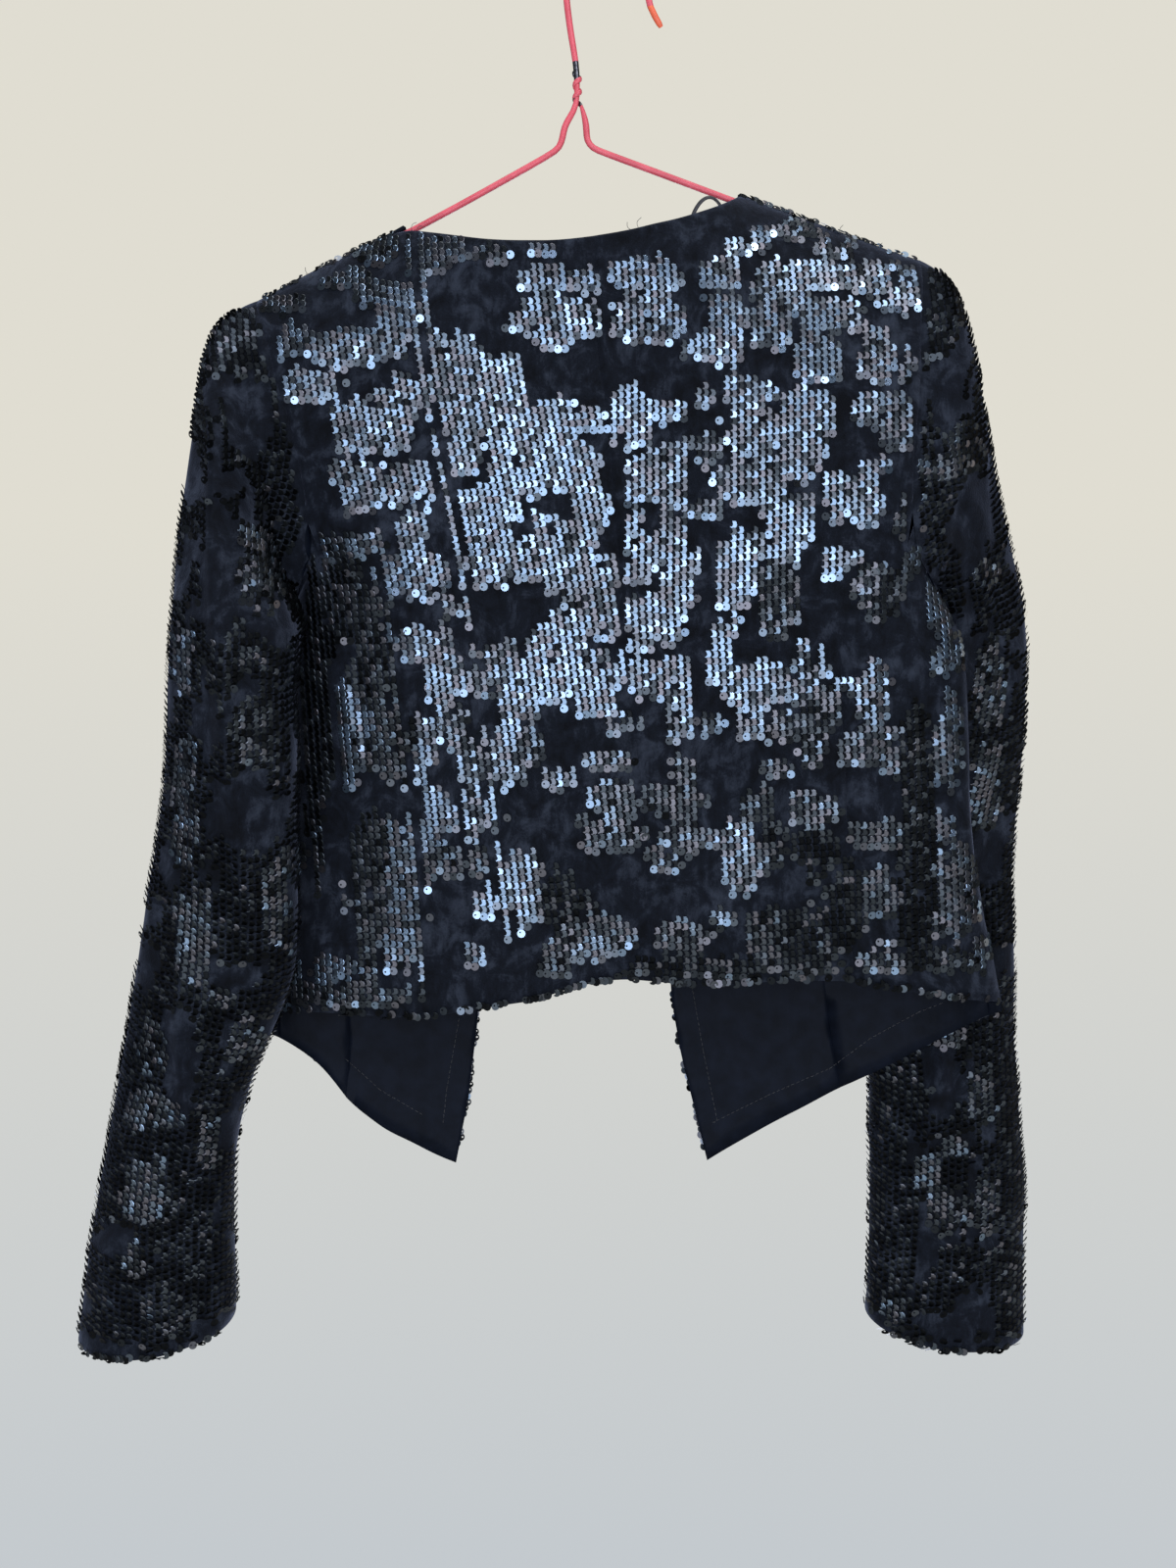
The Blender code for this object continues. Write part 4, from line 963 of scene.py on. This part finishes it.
def sewStitches():
    tree, _ = clothTree([name for name in cloth if name.startswith("lining")], every=True)
    shape, rounds = drawStitch()
    copies = []
    for line in stitchLines:
        for place, normal, run in stitchSpots(tree, line, stitch["long"] + stitch["gap"]):
            if normal.y > 0:
                normal = -normal
            ahead = (run - normal * run.dot(normal)).normalized()
            turned = shape @ np.array([ahead, normal.cross(ahead), normal])
            copies.append((turned + np.array(place + normal * stitch["proud"] * mm), rounds))
    piece = buildPiece("tailStitches", copies, threadMaterial)
    selectOnly(piece)
    bpy.ops.object.shade_smooth()
    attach(piece, "root")


sewStitches()

# Loose ends of the sequin threads at the neck and shoulders, mm: start x, y, z, and how far they curl away
looseEnds = [
    (12, -6, -150, 1.5, -1, 6), (9, -6, -151, -2.5, -2, 4), (-104, -7, -148, 3, -2, 4),
    (-101, -7, -149, 5, -3, 1), (-166, -6, -180, -3, -2, 4), (-164, -7, -182, -4, -2, 1),
    (-158, -7, -177, 2, -2, 4), (131, -6, -156, 1, -2, 5), (152, -7, -166, 1.5, -1, 4),
    (-160, -8, -179, 1, -3, 4),
]
threadThick = 0.28


def curlThreads():
    curve = bpy.data.curves.new("looseThreads", "CURVE")
    curve.dimensions, curve.bevel_depth, curve.bevel_resolution = "3D", threadThick * mm / 2, 1
    curve.use_fill_caps = True
    for x, y, z, dx, dy, dz in looseEnds:
        start, _, _, _ = bodyTree.find_nearest(Vector((x, y, z)) * mm)
        end = start + Vector((dx, dy, dz)) * mm
        spline = curve.splines.new("BEZIER")
        spline.bezier_points.add(2)
        bulge = Vector((-dz, -abs(dx), dx)) * 0.25 * mm
        for point, place in zip(spline.bezier_points, (start, (start + end) / 2 + bulge, end)):
            point.co = place
            point.handle_left_type = point.handle_right_type = "AUTO"
    curve.materials.append(threadMaterial)
    selectOnly(newPiece("looseThreads", curve))
    bpy.ops.object.convert(target="MESH")
    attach(bpy.context.object, "root")


curlThreads()
print("stitches and threads made")

# Studio: pale floor, m, and the surround as it is seen, with painted light: bluish grey low and pale warm
# high as on a lit wall, as it dims in mirrors, as it fills shadows
studio = {"floor": -1.35, "floorRadius": 1.9, "floorGrain": 25,
          "floorColours": [(0.3, "#D3D1CA"), (0.7, "#D9D7D0")],
          "wall": [(0.0, "#C3C9CE"), (0.75, "#E0DDD2")], "dim": ("#9DA6B4", 0.035), "fill": ("#D6DCE6", 0.55)}


def layFloor():
    bpy.ops.mesh.primitive_circle_add(vertices=96, radius=studio["floorRadius"], fill_type="NGON",
                                      location=(0, -0.9, studio["floor"]))
    floor = bpy.context.object
    floor.name = "paleFloor"
    bpy.ops.object.transform_apply()
    material, tree = startMaterial("pale matt floor paint")
    grain = addNoise(tree, objectPlace(tree), studio["floorGrain"], 4.0)
    finishMaterial(material, tree, {"Roughness": 0.9}, addRamp(tree, grain, studio["floorColours"]))
    floor.data.materials.append(material)


def lightSurround():
    world = bpy.data.worlds.new("studio surround")
    bpy.context.scene.world = world
    world.use_nodes = True
    tree = world.node_tree
    tree.nodes.clear()
    way = addNode(tree, "TexCoord")
    split = addNode(tree, "SeparateXYZ", links={"Vector": way.outputs["Generated"]})
    height = addNode(tree, "MapRange", values={"From Min": -0.38, "From Max": 0.30},
                     links={"Value": split.outputs["Z"]})
    # Painted light on the seen surround: darker bluish grey below, paler and warmer above
    wall = addRamp(tree, height.outputs[0], studio["wall"])
    seen = addNode(tree, "Background", values={"Strength": 1.0}, links={"Color": wall})
    dim, fill = (addNode(tree, "Background", values={"Color": hexColour(colour), "Strength": power})
                 for colour, power in (studio["dim"], studio["fill"]))
    path = addNode(tree, "LightPath").outputs
    soft = addNode(tree, "MixShader",
                   links={"Fac": path["Is Diffuse Ray"], 1: dim.outputs[0], 2: fill.outputs[0]})
    full = addNode(tree, "MixShader",
                   links={"Fac": path["Is Camera Ray"], 1: soft.outputs[0], 2: seen.outputs[0]})
    addNode(tree, "OutputWorld", links={"Surface": full.outputs[0]})


# Soft lights: place, aimed at, width, height, power W, colour
lamps = {
    "frontSoftbox": ((-0.34, -2.45, -0.62), (0.0, 0.0, -0.44), 2.6, 1.5, 45, "#E4ECFC"),
    "frontHigh": ((0.9, -1.9, 0.9), (0.0, 0.0, -0.35), 1.0, 0.8, 18, "#F0F4FF"),
    "backSoftbox": ((0.3, 2.45, -0.80), (0.0, 0.0, -0.50), 1.9, 1.1, 26, "#E2EAFF"),
    "leftStrip": ((-2.3, 0.1, -0.4), (0.0, 0.0, -0.45), 0.5, 1.4, 4.5, "#EAF0FF"),
    "rightStrip": ((2.3, -0.1, -0.4), (0.0, 0.0, -0.45), 0.5, 1.4, 4.5, "#FFF4E6"),
    "top": ((0.0, -0.2, 1.6), (0.0, 0.0, -0.4), 1.6, 1.0, 18, "#FFFFFF"),
}


def hangLamp(name, place, aim, width, height, power, colour):
    bpy.ops.object.light_add(type="AREA", location=place)
    lamp = bpy.context.object
    lamp.name = name
    lamp.data.shape, lamp.data.size, lamp.data.size_y = "RECTANGLE", width, height
    lamp.data.energy, lamp.data.color = power, hexColour(colour)[:3]
    lamp.rotation_euler = (Vector(aim) - Vector(place)).to_track_quat("-Z", "Y").to_euler()
    lamp.visible_camera = False


layFloor()
lightSurround()
for name, plan in lamps.items():
    hangLamp(name, *plan)

# Camera: level, straight before the back, 1.1 m from the hanger
bpy.ops.object.camera_add(location=(-0.011, -1.1, -0.46475), rotation=(math.radians(90), 0, 0))
camera = bpy.context.object
camera.data.lens, camera.data.sensor_width = 45, 36
camera.data.clip_start = 0.01
bpy.context.scene.camera = camera
bpy.context.scene.view_settings.view_transform = "Standard"
print("studio lit")
